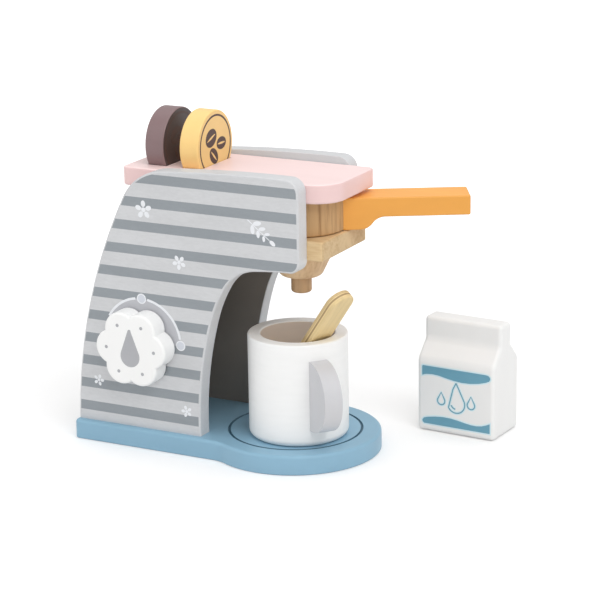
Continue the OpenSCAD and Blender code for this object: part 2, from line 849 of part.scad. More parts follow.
base_plate();
near_side_panel();
far_side_panel();
rear_board();
top_plate();
funnel_slab();
funnel_cone();
spout_dowel();
panel_dowels();
base_screws();
filter_drum();
filter_handle();
handle_dowel();
knob();
knob_axle();
knob_washer();
knob_retainer();
pod_caramel();
pod_espresso();
mug_body();
mug_handle();
mug_dowels();
spoon();
milk_carton();
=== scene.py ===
"""Wooden toy coffee maker: a user's sidebar tool that models and paints every piece."""

import json
import math

import bmesh
import bpy
from mathutils import Matrix, Vector

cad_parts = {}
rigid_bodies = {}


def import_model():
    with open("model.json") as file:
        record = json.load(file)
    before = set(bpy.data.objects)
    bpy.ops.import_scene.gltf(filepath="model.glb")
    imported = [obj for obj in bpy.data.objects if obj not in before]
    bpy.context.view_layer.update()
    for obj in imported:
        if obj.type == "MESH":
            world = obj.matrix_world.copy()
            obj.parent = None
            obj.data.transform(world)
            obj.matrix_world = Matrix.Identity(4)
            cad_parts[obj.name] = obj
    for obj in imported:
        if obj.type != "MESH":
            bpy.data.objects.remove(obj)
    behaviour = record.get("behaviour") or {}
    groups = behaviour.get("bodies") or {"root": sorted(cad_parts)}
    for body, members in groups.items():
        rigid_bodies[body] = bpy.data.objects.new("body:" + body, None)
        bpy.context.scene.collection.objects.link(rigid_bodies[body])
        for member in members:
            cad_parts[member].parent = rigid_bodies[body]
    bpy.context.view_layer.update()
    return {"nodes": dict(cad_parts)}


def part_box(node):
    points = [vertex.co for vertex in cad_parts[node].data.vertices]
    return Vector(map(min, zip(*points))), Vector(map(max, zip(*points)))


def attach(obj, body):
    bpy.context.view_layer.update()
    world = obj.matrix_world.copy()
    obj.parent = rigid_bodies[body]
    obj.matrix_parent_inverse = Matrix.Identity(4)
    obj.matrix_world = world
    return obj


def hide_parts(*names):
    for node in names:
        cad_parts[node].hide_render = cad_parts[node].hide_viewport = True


bl_info = {
    "name": "Wooden Toy Coffee Maker",
    "version": (1, 0, 0),
    "blender": (4, 5, 0),
    "location": "3D View > Sidebar > Toy Coffee Maker",
    "description": "Models and paints a wooden toy coffee maker with its mug, pods and milk",
    "category": "Add Mesh",
}

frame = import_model()

# Lengths and places below are in millimetres, unless a comment says otherwise
MM = 0.001
TURN = 2 * math.pi
HAIR = 0.01
PRINT_SINK = 0.05
SIDE_PLAY = 0.05
UPRIGHT = (0, 0, 1)


def extent(node):
    """A node's lowest and highest corners."""
    return [Vector(corner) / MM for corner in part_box(node)]


def centre_of(node):
    lowest, highest = extent(node)
    return (lowest + highest) / 2


def turned_size(node):
    """A turned node's radius, its height and the height of its foot."""
    lowest, highest = extent(node)
    return (highest.x - lowest.x) / 2, highest.z - lowest.z, lowest.z


# Sizes that the frame gives
BASE_LOW, BASE_HIGH = extent("base_plate")
BASE_TOP = BASE_HIGH.z
PANEL_LOW, PANEL_HIGH = extent("far_side_panel")
PANEL_IN = PANEL_LOW.y
PANEL_OUT = PANEL_HIGH.y
INNER_RIM = extent("top_plate")[1].z - 1
FILTER_X = centre_of("filter_drum").x
KNOB_X, _, KNOB_Z = centre_of("knob")
MUG_X, MUG_Y, _ = centre_of("mug_body")


# ---------- colours and sizes ----------

def linear(*screen):
    """A colour as a screen shows it, from 0 to 255, as the shader wants it."""
    def one(value):
        value /= 255
        return value / 12.92 if value <= 0.04045 else ((value + 0.055) / 1.055) ** 2.4
    return tuple(one(value) for value in screen)


def tint(name, description, colour):
    return bpy.props.FloatVectorProperty(
        name=name, description=description, default=linear(*colour),
        subtype="COLOR", min=0, max=1)


def length(name, description, millimetres):
    return bpy.props.FloatProperty(
        name=name, description=description, default=millimetres * MM, min=0,
        precision=5, unit="LENGTH", subtype="DISTANCE")


class ToyColours(bpy.types.PropertyGroup):
    """Paints, woods and prints, with painted shade and painted light on some faces"""
    base: tint("Base", "Paint of the base board", (141, 181, 204))
    # Painted shade: a darker blue stands in for the shade in the mug's ring groove
    groove: tint("Groove", "Paint in the mug's ring groove", (70, 105, 125))
    panel: tint("Panel", "Paint of the side panels", (207, 208, 210))
    stripe: tint("Stripe", "Printed stripes of the side panels", (147, 153, 158))
    # Painted shade: a dark tone for the shade inside the machine, on the panels' inner faces below
    # the top plate and on the rear board
    inside: tint("Inside", "Inner faces of the machine", (147, 141, 135))
    inner_rim: tint("Inner Rim", "Panels' inner faces above the top plate", (203, 209, 211))
    print_white: tint("White Print", "Printed motifs of the side panels", (236, 238, 242))
    dial: tint("Dial", "Printed ground behind the knob", (190, 191, 196))
    dot: tint("Dial Dots", "Printed dots of the dial", (212, 216, 224))
    top: tint("Top Plate", "Paint of the top plate", (247, 221, 219))
    # Painted shade: the top plate's sides take a darker copy of the top's pink, for the light they
    # miss
    top_side_shade: tint("Plate Sides", "Sides of the top plate", (236, 204, 202))
    handle: tint("Filter Handle", "Paint of the filter's handle", (233, 164, 74))
    pale_light: tint("Pale Wood, Light", "Light grain of the pale wood", (226, 197, 152))
    pale_dark: tint("Pale Wood, Dark", "Dark grain of the pale wood", (205, 170, 122))
    brown_light: tint("Brown Wood, Light", "Light grain of the drum", (196, 158, 112))
    brown_dark: tint("Brown Wood, Dark", "Dark grain of the drum", (150, 112, 72))
    cone_light: tint("Cone Wood, Light", "Light grain of the funnel's cone", (233, 202, 163))
    cone_dark: tint("Cone Wood, Dark", "Dark grain of the funnel's cone", (212, 177, 137))
    peg_light: tint("Spout Wood, Light", "Light grain of the spout", (203, 168, 129))
    peg_dark: tint("Spout Wood, Dark", "Dark grain of the spout", (181, 145, 108))
    ply_light: tint("Plywood, Light", "Outer veneers of the spoon", (236, 210, 156))
    ply_dark: tint("Plywood, Dark", "Inner veneer of the spoon", (168, 141, 102))
    white: tint("White", "Paint of the carton", (240, 240, 239))
    mug_white: tint("Mug White", "Paint of the mug and the knob", (247, 247, 246))
    # The mug's hollow takes a darker, warmer tone than its outside
    mug_inner: tint("Mug Inside", "Paint of the mug's hollow", (230, 218, 207))
    mug_handle: tint("Mug Handle", "Paint of the mug's handle", (205, 205, 208))
    caramel: tint("Caramel", "Paint of the front pod", (253, 212, 138))
    espresso: tint("Espresso", "Paint of the rear pod", (134, 111, 112))
    print_dark: tint("Dark Print", "Printed rings and beans of the pods", (82, 62, 58))
    print_blue: tint("Blue Print", "Printed bands of the carton", (106, 160, 182))
    print_halo: tint("Pale Print", "Pale border of the carton's prints", (212, 234, 240))
    print_grey: tint("Grey Print", "Printed mark of the knob", (176, 177, 181))
    steel: tint("Steel", "Screws", (180, 180, 184))
    washer: tint("Washer", "Washer behind the knob", (150, 150, 154))


class ToySizes(bpy.types.PropertyGroup):
    """Roundings and prints that the frame leaves to the finish"""
    base_edge: length("Base Edges", "Rounding of the base's upper edges", 2.0)
    plate_edge: length("Plate Edges", "Rounding of the top plate's edges", 1.2)
    panel_edge: length("Panel Edges", "Rounding of the panels' outer edges", 1.1)
    inner_edge: length("Inner Edges", "Rounding of the panels' inner edges", 0.5)
    stripe_first: length("First Stripe", "Height of the lowest stripe's top edge", 22.68)
    stripe_pitch: length("Stripe Pitch", "Distance from stripe to stripe", 13.8)
    stripe_height: length("Stripe Height", "Height of each stripe", 5.66)
    knob_edge: length("Knob Edges", "Rounding of the knob's face", 3.6)
    grip_edge: length("Grip Edges", "Rounding of the filter handle's edges", 0.9)
    wood_edge: length("Bare Wood Edges", "Rounding of the funnel board and the drum", 1.1)
    spoon_edge: length("Spoon Edges", "Rounding of the spoon's edges", 0.9)
    carton_edge: length("Carton Edges", "Rounding of the carton's edges", 2.6)
    mug_handle_edge: length("Mug Handle Edges", "Rounding of the mug handle's edges", 0.9)
    print_rise: length("Print Rise", "Thickness of printed motifs above the paint", 0.04)
    dial_radius: length("Dial Radius", "Radius of the dial's printed arc", 24.9)
    pod_edge: length("Pod Edges", "Rounding of the pods' edges", 1.1)


def colours():
    return bpy.context.scene.toy_coffee_colours


def size(name):
    """One of the user's sizes."""
    return getattr(bpy.context.scene.toy_coffee_sizes, name) / MM


# ---------- materials ----------

def put(tree, node, inputs):
    """Set a node's inputs, each to a value or to another node's output."""
    for socket, value in inputs.items():
        if isinstance(value, bpy.types.NodeSocket):
            tree.links.new(value, node.inputs[socket])
        else:
            node.inputs[socket].default_value = value
    return node


def add(tree, kind, inputs, **settings):
    """Add a node of a kind, with its settings and its inputs."""
    node = tree.nodes.new("ShaderNode" + kind)
    for name, value in settings.items():
        setattr(node, name, value)
    return put(tree, node, inputs)


def material_of(name, recipe):
    """A new material; the recipe takes its tree and gives the shader's inputs."""
    made = bpy.data.materials.new(name)
    made.use_nodes = True
    tree = made.node_tree
    put(tree, tree.nodes["Principled BSDF"], recipe(tree))
    return made


def grain_space(tree, stretch, turn=(0, 0, 0)):
    """Object coordinates, turned and then stretched along the grain."""
    place = add(tree, "TexCoord", {}).outputs["Object"]
    mapping = {"Vector": place, "Rotation": turn, "Scale": stretch}
    return add(tree, "Mapping", mapping, vector_type="POINT").outputs["Vector"]


def noise(tree, space, scale, detail=3, roughness=0.55, distortion=0):
    texture = {"Vector": space, "Scale": scale, "Detail": detail,
               "Roughness": roughness, "Distortion": distortion}
    return add(tree, "TexNoise", texture).outputs["Fac"]


def ramp(tree, value, stops):
    """A colour ramp over a value; each stop is a position and a colour."""
    blend = add(tree, "ValToRGB", {"Fac": value})
    band = blend.color_ramp
    while len(band.elements) < len(stops):
        band.elements.new(0.5)
    for element, (position, colour) in zip(band.elements, stops):
        element.position = position
        element.color = (*colour, 1)
    return blend.outputs["Color"]


def bump(tree, height, strength, depth):
    """Relief from a height; the depth is in metres."""
    relief = {"Height": height, "Strength": strength, "Distance": depth}
    return add(tree, "Bump", relief).outputs["Normal"]


def spread(tree, value, low_end, high_end, start=0, end=1):
    """A value between a start and an end, spread between two numbers."""
    scale = {"Value": value, "From Min": start, "From Max": end,
             "To Min": low_end, "To Max": high_end}
    return add(tree, "MapRange", scale).outputs["Result"]


def blend_in(tree, value, share, rest):
    """A share of a value, added to the rest."""
    return add(tree, "Math", {0: value, 1: share, 2: rest}, operation="MULTIPLY_ADD").outputs[0]


def shade(colour, factor):
    return tuple(min(1, part * factor) for part in colour)


def grey(value):
    return (value, value, value)


def paint(name, colour, gloss=0.42, grain=(0.25, 1, 1), ripple=0.12, mottle=0.035, fleck=0):
    """Sprayed paint on wood: soft mottling, with the grain faintly telegraphing through."""
    def recipe(tree):
        space = grain_space(tree, grain)
        cloud = noise(tree, space, scale=60, detail=4)
        skin = noise(tree, space, scale=900, detail=2, roughness=0.6)
        if fleck:
            cloud = blend_in(tree, skin, fleck, spread(tree, cloud, -fleck / 2, 1 - fleck / 2))
        return {"Base Color": ramp(tree, cloud, [(0.3, shade(colour, 1 - mottle)),
                                                 (0.7, shade(colour, 1 + mottle))]),
                "Roughness": spread(tree, skin, gloss - 0.05, gloss + 0.07),
                "Specular IOR Level": 0.4,
                "Normal": bump(tree, skin, ripple, 0.0001)}
    return material_of(name, recipe)


def wood(name, light, dark, grain, fine=420, broad=70):
    """Bare sanded wood: broad bands and fine streaks along the grain."""
    def recipe(tree):
        space = grain_space(tree, grain)
        bands = noise(tree, space, broad, roughness=0.5, distortion=0.6)
        streaks = noise(tree, space, fine, detail=4, roughness=0.65)
        part = add(tree, "Math", {0: bands, 1: 0.45}, operation="MULTIPLY").outputs[0]
        both = blend_in(tree, streaks, 0.55, part)
        return {"Base Color": ramp(tree, both, [(0.34, dark), (0.52, light),
                                                (0.68, shade(light, 1.06))]),
                "Roughness": spread(tree, streaks, 0.63, 0.49),
                "Specular IOR Level": 0.35,
                "Normal": bump(tree, streaks, 0.18, 0.00015)}
    return material_of(name, recipe)


def pale_wood(name, grain, factor=1):
    """The pale wood of the funnel and the dowels."""
    tones = colours()
    return wood(name, shade(tones.pale_light, factor), shade(tones.pale_dark, factor), grain)


# The spoon's layers through its thickness: a place, and how dark the layer is
PLY_LAYERS = ((0.0, 0.3), (0.32, 0.42), (0.36, 0), (0.42, 0), (0.46, 1), (0.6, 0.9),
              (0.64, 0), (0.72, 0), (0.77, 0.16), (0.9, 0.05), (1.0, 0))


def plywood(name, light, dark, turn, middle, thickness):
    """Plywood: pale faces, with glue lines and a dark veneer in the middle of the thickness."""
    def recipe(tree):
        space = grain_space(tree, (1, 1, 1), turn)
        along = add(tree, "VectorMath", {0: space, 1: (1, 1, 0.06)}, operation="MULTIPLY")
        streaks = noise(tree, along.outputs["Vector"], scale=520, detail=4, roughness=0.6)
        faces = ramp(tree, streaks, [(0.35, shade(light, 0.9)), (0.62, light)])
        across = add(tree, "SeparateXYZ", {"Vector": space}).outputs["X"]
        depth = spread(tree, across, 0, 1, (middle - thickness / 2) * MM,
                       (middle + thickness / 2) * MM)
        layers = ramp(tree, depth, [(place, grey(dark_share)) for place, dark_share in PLY_LAYERS])
        mixed = add(tree, "Mix", {"Factor": layers, "A": faces, "B": (*dark, 1)}, data_type="RGBA")
        tone = [socket for socket in mixed.outputs if socket.type == "RGBA"][0]
        return {"Base Color": tone,
                "Roughness": spread(tree, streaks, 0.62, 0.5),
                "Normal": bump(tree, streaks, 0.2, 0.00015)}
    return material_of(name, recipe)


def metal(name, colour, roughness):
    """Brushed metal: fine scratches in the roughness and the bump."""
    def recipe(tree):
        scratch = noise(tree, grain_space(tree, (1, 0.1, 1)), scale=2500, detail=2)
        return {"Base Color": ramp(tree, scratch, [(0.3, shade(colour, 0.85)), (0.7, colour)]),
                "Metallic": 1.0,
                "Roughness": spread(tree, scratch, roughness - 0.1, roughness + 0.1),
                "Normal": bump(tree, scratch, 0.1, 0.00003)}
    return material_of(name, recipe)


# ---------- modelling ----------

def clear_selection():
    if bpy.context.mode != "OBJECT":
        bpy.ops.object.mode_set(mode="OBJECT")
    bpy.ops.object.select_all(action="DESELECT")


def begin(name):
    """Start a piece as one point at the origin, in edit mode."""
    clear_selection()
    bpy.ops.mesh.primitive_plane_add(size=1, location=(0, 0, 0))
    piece = bpy.context.object
    piece.name = piece.data.name = name
    bpy.ops.object.mode_set(mode="EDIT")
    bpy.ops.mesh.select_mode(type="VERT")
    bpy.ops.mesh.select_all(action="SELECT")
    bpy.ops.mesh.merge(type="CENTER")
    return piece


def add_point():
    """Add a loose point at the origin to the piece in hand, and select it alone."""
    bpy.ops.mesh.select_all(action="DESELECT")
    bpy.ops.mesh.primitive_plane_add(size=1, location=(0, 0, 0))
    bpy.ops.mesh.merge(type="CENTER")


def trace(points):
    """Pull a line of edges out of the selected point, which lies at the origin."""
    here = Vector((0, 0, 0))
    for count, point in enumerate(points):
        place = Vector(point) * MM
        if count:
            bpy.ops.mesh.extrude_region_move(TRANSFORM_OT_translate={"value": place - here})
        else:
            bpy.ops.transform.translate(value=place)
        here = place


def slab(points, push):
    """Trace a closed outline, fill it and push it into a solid."""
    trace(list(points) + [points[0]])
    bpy.ops.mesh.select_linked()
    bpy.ops.mesh.remove_doubles(threshold=1e-7)
    bpy.ops.mesh.edge_face_add()
    bpy.ops.mesh.select_mode(type="FACE")
    bpy.ops.mesh.extrude_region_move(TRANSFORM_OT_translate={"value": Vector(push) * MM})
    bpy.ops.mesh.select_mode(type="VERT")


def outwards():
    bpy.ops.mesh.select_mode(type="VERT")
    bpy.ops.mesh.select_all(action="SELECT")
    bpy.ops.mesh.normals_make_consistent(inside=False)


def revolve(points, centre, axis, steps, closed=False):
    """Spin a profile all round an axis: one whose ends lie on the axis, or a closed one."""
    trace(list(points) + [points[0]] if closed else points)
    bpy.ops.mesh.select_all(action="SELECT")
    if closed:
        bpy.ops.mesh.remove_doubles(threshold=1e-7)
    bpy.ops.mesh.spin(steps=steps, angle=TURN, center=Vector(centre) * MM, axis=axis)
    bpy.ops.mesh.select_all(action="SELECT")
    bpy.ops.mesh.remove_doubles(threshold=1e-6)
    outwards()


def turned(name, x, y, foot, profile, steps=96, closed=False):
    """Turn a piece on an upright axis, from a profile of radii and heights over its foot."""
    piece = begin(name)
    revolve([(x + radius, y, foot + height) for radius, height in profile],
            (x, y, 0), UPRIGHT, steps, closed)
    return piece


def middle(item):
    """The middle of an edge or a face."""
    return sum((point.co for point in item.verts), Vector()) / len(item.verts) / MM


def choose(kind, test):
    """Select, in the piece in hand, the edges or faces that pass a test."""
    bpy.ops.mesh.select_mode(type=kind)
    bpy.ops.mesh.select_all(action="DESELECT")
    shape = bmesh.from_edit_mesh(bpy.context.object.data)
    shape.normal_update()
    found = shape.faces if kind == "FACE" else shape.edges
    for item in found:
        item.select_set(test(item))
    shape.select_flush_mode()
    bmesh.update_edit_mesh(bpy.context.object.data)


def round_edges(width, test=None, sharp=35, segments=5):
    """Bevel the sharp edges whose middle passes a test, or all of them."""
    outwards()
    limit = math.radians(sharp)

    def wanted(edge):
        folded = edge.is_manifold and edge.calc_face_angle(0) > limit
        return folded and (test is None or test(middle(edge)))
    choose("EDGE", wanted)
    bpy.ops.mesh.bevel(offset=width * MM, offset_type="OFFSET", segments=segments, profile=0.5,
                       affect="EDGES", clamp_overlap=True)


def cut_with(piece, cutter):
    """Cut one solid with another by a boolean, and drop the cutter."""
    clear_selection()
    bpy.context.view_layer.objects.active = piece
    piece.select_set(True)
    bpy.ops.object.modifier_add(type="BOOLEAN")
    cut = piece.modifiers[-1]
    cut.operation = "DIFFERENCE"
    cut.solver = "EXACT"
    cut.object = cutter
    bpy.ops.object.modifier_apply(modifier=cut.name)
    clear_selection()
    cutter.select_set(True)
    bpy.context.view_layer.objects.active = cutter
    bpy.ops.object.delete()


def finish(piece, body, nodes, materials, angle=32):
    """Smooth a piece, paint it, and tie it to its body and the nodes it stands for."""
    clear_selection()
    piece.select_set(True)
    bpy.context.view_layer.objects.active = piece
    for material in materials:
        piece.data.materials.append(material)
    bpy.ops.object.shade_smooth_by_angle(angle=math.radians(angle))
    bpy.ops.object.modifier_add(type="WEIGHTED_NORMAL")
    weighted = piece.modifiers[-1]
    weighted.keep_sharp = True
    weighted.weight = 100
    bpy.ops.object.modifier_apply(modifier=weighted.name)
    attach(piece, body)
    if nodes:
        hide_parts(*nodes)
    return piece


def recoat(piece, index, test):
    """Give the faces whose normal and centre pass a test another of the piece's materials."""
    for face in piece.data.polygons:
        if test(face.normal, face.center / MM):
            face.material_index = index


def dress(node, *materials):
    """Give a CAD node that stays its own material."""
    piece = frame["nodes"][node]
    piece.data.materials.clear()
    for material in materials:
        piece.data.materials.append(material)


def prints(name, outlines, place, out, body, material, layer=0):
    """Thin printed motifs, one solid for each outline, that stand out of a face by a layer."""
    out, rise = Vector(out), size("print_rise")
    piece = begin(name)
    for count, outline in enumerate(outlines):
        if count:
            add_point()
        slab([Vector(place(*point)) + out * (layer * rise - PRINT_SINK) for point in outline],
             out * (PRINT_SINK + rise))
    outwards()
    return finish(piece, body, (), [material])


# ---------- plane figures ----------

def unit(angle):
    """A step of one in a direction, given in degrees."""
    return math.cos(math.radians(angle)), math.sin(math.radians(angle))


def arc(centre, radius, start, end, count):
    """Points of an arc; angles in degrees, from start to end."""
    angles = [start + (end - start) * i / count for i in range(count + 1)]
    return [(centre[0] + radius * c, centre[1] + radius * s) for c, s in map(unit, angles)]


def placed(points, x, y, turn):
    """Points turned about the origin and moved to a place."""
    c, s = unit(turn)
    return [(x + a * c - b * s, y + a * s + b * c) for a, b in points]


def ellipse(centre, across, up, turn=0, count=32):
    """Points of an ellipse, without a repeated end."""
    steps = [TURN * i / count for i in range(count)]
    return placed([(across * math.cos(a), up * math.sin(a)) for a in steps], *centre, turn)


def disc(centre, radius, count=32):
    return ellipse(centre, radius, radius, 0, count)


# ---------- base ----------

BASE_HALF = 41
BASE_BLEND = 20
BASE_CORNER = 3
FOOT_EDGE = 0.6
RING_RADIUS = 37.9
RING_HALF = 0.75
RING_DEPTH = 0.8
SCREWS_X = (-104.4, -81.85, -57.3)
SCREW_Y = 32
# Profile of a countersunk screw hole: radii and heights
SCREW_HOLE = ((0, -1), (3.65, -1), (3.65, 1), (1.85, 2.8), (1.85, 12), (0, 12))


def base_outline():
    """The base's outline, round from the nose's tip."""
    nose, rear, half = BASE_HIGH.x, BASE_LOW.x, BASE_HALF
    beside = half + BASE_BLEND
    centre = (-math.sqrt((nose + BASE_BLEND) ** 2 - beside ** 2), beside)
    swing = math.degrees(math.atan2(centre[1], centre[0]))
    upper = arc((0, 0), nose, 0, swing, 60)
    upper += arc(centre, BASE_BLEND, swing - 180, -90, 12)[1:]
    upper += arc((rear + BASE_CORNER, half - BASE_CORNER), BASE_CORNER, 90, 180, 6)
    lower = [(x, -y) for x, y in reversed(upper)]
    return upper + lower[:-1]


class MakeBase(bpy.types.Operator):
    """Model the base board with its ring groove and screw holes"""
    bl_idname = "toy_coffee.base"
    bl_label = "Base Board"

    def execute(self, context):
        tones = colours()
        piece = begin("base_board")
        slab([(x, y, 0) for x, y in base_outline()], (0, 0, BASE_TOP))
        round_edges(size("base_edge"), lambda at: at.z > BASE_TOP - HAIR, segments=6)
        round_edges(FOOT_EDGE, lambda at: at.z < HAIR, segments=3)
        half, deep = RING_HALF, RING_DEPTH
        groove = [(RING_RADIUS + x, z) for x, z in ((-half, 1), (-half, 0), (-half / 2, -deep),
                                                    (half / 2, -deep), (half, 0), (half, 1))]
        cut_with(piece, turned("cutter", 0, 0, BASE_TOP, groove, 128, closed=True))
        for x in SCREWS_X:
            for side in (-1, 1):
                cut_with(piece, turned("cutter", x, side * SCREW_Y, 0, SCREW_HOLE, 24))
        finish(piece, "machine", ["base_plate"],
               [paint("base_paint", tones.base, 0.4), paint("groove_painted_shade", tones.groove, 0.5)])

        # Painted shade in the recess: faces inside the ring groove take the darker blue
        def groove_shade_faces(normal, at):
            off = abs(math.hypot(at.x, at.y) - RING_RADIUS)
            below = BASE_TOP - at.z
            return off < RING_HALF + HAIR and HAIR < below < RING_DEPTH + 0.1
        recoat(piece, 1, groove_shade_faces)
        dress("base_screws", metal("screw_steel", tones.steel, 0.35))
        return {"FINISHED"}


# ---------- side panels ----------

REAR_CENTRE = (188.6, 3.0)
REAR_RADIUS = 311.0
TOP_RADIUS = 860.0
TOP_CROWN = 4.0
SHOULDER_RADIUS = 31.5
ARCH_RADII = (218.0, 79.5, 25.7, 200.0)
ARCH_ANGLES = (16.4, 31.7, 83.0)
ARCH_STEPS = (14, 24)
ARCH_FRONT = -41.3
HEAD_LOW = 113.1
CHIN_RADIUS = 6.0
BROW_RADIUS = 8.0
STRIPES = 11
AXLE_BORE = ((0, 0), (4.08, 0), (4.08, 12), (0, 12))


def meeting(one, one_far, other, other_far):
    """The upper left point at two given distances from two centres."""
    span = math.dist(one, other)
    along = (one_far ** 2 - other_far ** 2 + span ** 2) / (2 * span)
    off = math.sqrt(one_far ** 2 - along ** 2)
    x, z = (other[0] - one[0]) / span, (other[1] - one[1]) / span
    return (one[0] + along * x + off * z, one[1] + along * z - off * x)


def bearing(start, end):
    """The direction from one point to another, in degrees from +X."""
    return math.degrees(math.atan2(end[1] - start[1], end[0] - start[0]))


def touching(centre, far, x):
    """The point above a centre at a given distance from it and a given X."""
    return (x, centre[1] + math.sqrt(far ** 2 - (x - centre[0]) ** 2))


def panel_outline():
    """The side panel's outline in X and Z: arch, chin, brow, top, shoulder and rear."""
    def foot(centre, radius):
        return 180 - math.degrees(math.asin((BASE_TOP - centre[1]) / radius))

    front, radii = PANEL_HIGH.x, ARCH_RADII
    turns = [math.radians(angle) for angle in ARCH_ANGLES]
    drop = sum((radii[i] - radii[i + 1]) * math.sin(turns[i]) for i in range(3))
    centre = (radii[0] + ARCH_FRONT, HEAD_LOW - radii[3] - drop)
    points = arc(centre, radii[0], foot(centre, radii[0]), 180 - ARCH_ANGLES[0], 24)
    for i, turn in enumerate(turns):
        step = radii[i] - radii[i + 1]
        centre = (centre[0] - step * math.cos(turn), centre[1] + step * math.sin(turn))
        if i < 2:
            points += arc(centre, radii[i + 1], 180 - ARCH_ANGLES[i], 180 - ARCH_ANGLES[i + 1],
                          ARCH_STEPS[i])[1:]
    chin = touching(centre, radii[3] + CHIN_RADIUS, front - CHIN_RADIUS)
    points += arc(centre, radii[3], 180 - ARCH_ANGLES[2], bearing(centre, chin), 10)[1:]
    points += arc(chin, CHIN_RADIUS, bearing(chin, centre), 0, 12)[1:]
    crown = (TOP_CROWN, PANEL_HIGH.z - TOP_RADIUS)
    brow = touching(crown, TOP_RADIUS - BROW_RADIUS, front - BROW_RADIUS)
    shoulder = meeting(REAR_CENTRE, REAR_RADIUS - SHOULDER_RADIUS,
                       crown, TOP_RADIUS - SHOULDER_RADIUS)
    over, behind = bearing(crown, shoulder), bearing(REAR_CENTRE, shoulder)
    points += arc(brow, BROW_RADIUS, 0, bearing(crown, brow), 14)
    points += arc(crown, TOP_RADIUS, bearing(crown, brow), over, 20)[1:]
    points += arc(shoulder, SHOULDER_RADIUS, over, behind, 30)[1:]
    points += arc(REAR_CENTRE, REAR_RADIUS, behind, foot(REAR_CENTRE, REAR_RADIUS), 40)[1:]
    return points


def bisect_at(height):
    bpy.ops.mesh.bisect(plane_co=(0, 0, height * MM), plane_no=UPRIGHT)


def print_stripes(piece, side, index):
    """Divide a panel's outer face at the stripes' edges, give the stripes their material, and
    divide the inner face where its rim starts, just under the top plate's upper face."""
    def printed(face):
        return face.normal.y * side > 0.999

    tops = [size("stripe_first") + size("stripe_pitch") * i for i in range(STRIPES)]
    stripes = [(top - size("stripe_height"), top) for top in tops]
    for pair in stripes:
        for height in pair:
            choose("FACE", printed)
            bisect_at(height)
    for lower, upper in stripes:
        choose("FACE", lambda face: printed(face) and lower < middle(face).z < upper)
        shape = bmesh.from_edit_mesh(piece.data)
        for face in shape.faces:
            if face.select:
                face.material_index = index
        bmesh.update_edit_mesh(piece.data)
    choose("FACE", lambda face: face.normal.y * side < -0.999)
    bisect_at(INNER_RIM)


class MakeSidePanels(bpy.types.Operator):
    """Model both striped side panels"""
    bl_idname = "toy_coffee.side_panels"
    bl_label = "Side Panels"

    def execute(self, context):
        tones, grain = colours(), (0.3, 1, 1)
        # Painted shade: the third coat darkens the panels' inner faces below the top plate; the
        # fourth keeps their light grey above it
        coats = [paint("panel_paint", tones.panel, 0.42, grain, 0.3, 0.045, 0.7),
                 paint("stripe_paint", tones.stripe, 0.45, grain, 0.3, 0.045, 0.5),
                 paint("inside_painted_shade", tones.inside, 0.6, grain),
                 paint("inner_rim_paint", tones.inner_rim, 0.5, grain)]
        for name, node, side in (("near_panel", "near_side_panel", -1),
                                 ("far_panel", "far_side_panel", 1)):
            piece = begin(name)
            slab([(x, side * PANEL_IN, z) for x, z in panel_outline()],
                 (0, side * (PANEL_OUT - PANEL_IN), 0))
            round_edges(size("panel_edge"),
                        lambda at: at.z > BASE_TOP + HAIR and abs(at.y) > PANEL_IN + 2)
            round_edges(size("inner_edge"),
                        lambda at: at.z > BASE_TOP + HAIR and abs(at.y) < PANEL_IN + HAIR,
                        segments=3)
            outwards()
            print_stripes(piece, side, 1)
            if side < 0:
                cutter = begin("cutter")
                revolve([(KNOB_X + r, y - PANEL_OUT - 1, KNOB_Z) for r, y in AXLE_BORE],
                        (KNOB_X, 0, KNOB_Z), (0, 1, 0), 48)
                cut_with(piece, cutter)
            finish(piece, "machine", [node], coats)

            # Painted shade: inner faces take the dark coat, and those above the top plate keep a
            # light one
            def inner(normal, at):
                return normal.y * side < -0.98 and at.y * side < PANEL_IN + 0.05
            recoat(piece, 2, inner)
            recoat(piece, 3, lambda normal, at: inner(normal, at) and at.z >= INNER_RIM)
        return {"FINISHED"}


# Blossoms on the near panel: place, size and turn. The sprig: place, length and turn
BLOSSOMS = ((-74, 140, 5.2, 20), (-52, 112, 4.2, 50), (-108, 36, 3.4, 0), (-50, 25, 3.4, 35))
SPRIG = (-8, 141, 17, -38)


def blossom(x, z, wide, turn):
    """Five petals round a dot."""
    shapes = [disc((x, z), wide * 0.26)]
    for i in range(5):
        c, s = unit(turn + 72 * i)
        shapes.append(ellipse((x + wide * 0.66 * c, z + wide * 0.66 * s),
                              wide * 0.36, wide * 0.27, turn + 72 * i))
    return shapes


def sprig(x, z, long, turn):
    """A twig with pairs of leaves and one at its end."""
    def leaf(along, out, reach, narrow, lean=0):
        centre = placed([(along, out)], x, z, turn)[0]
        return ellipse(centre, reach, narrow, turn + lean)
    shapes = [placed([(0, -0.25), (long, -0.2), (long, 0.2), (0, 0.25)], x, z, turn),
              leaf(long * 1.13, 0, long * 0.12, long * 0.07)]
    for i, along in enumerate((0.22, 0.48, 0.74)):
        for side in (-1, 1):
            reach = long * (0.15 - 0.025 * i)
            shapes.append(leaf(long * along + reach * 0.75, side * (reach * 0.75 + 0.45),
                               reach, reach * 0.5, side * 48))
    return shapes


DIAL_OFFSET = (0.9, 1.8)
DIAL_END = 150
DIAL_SWEEPS = ((9, 81), (99, 150))
DIAL_LINE = 0.7
DIAL_MARK = 3.0
DIAL_DOT = 2.3


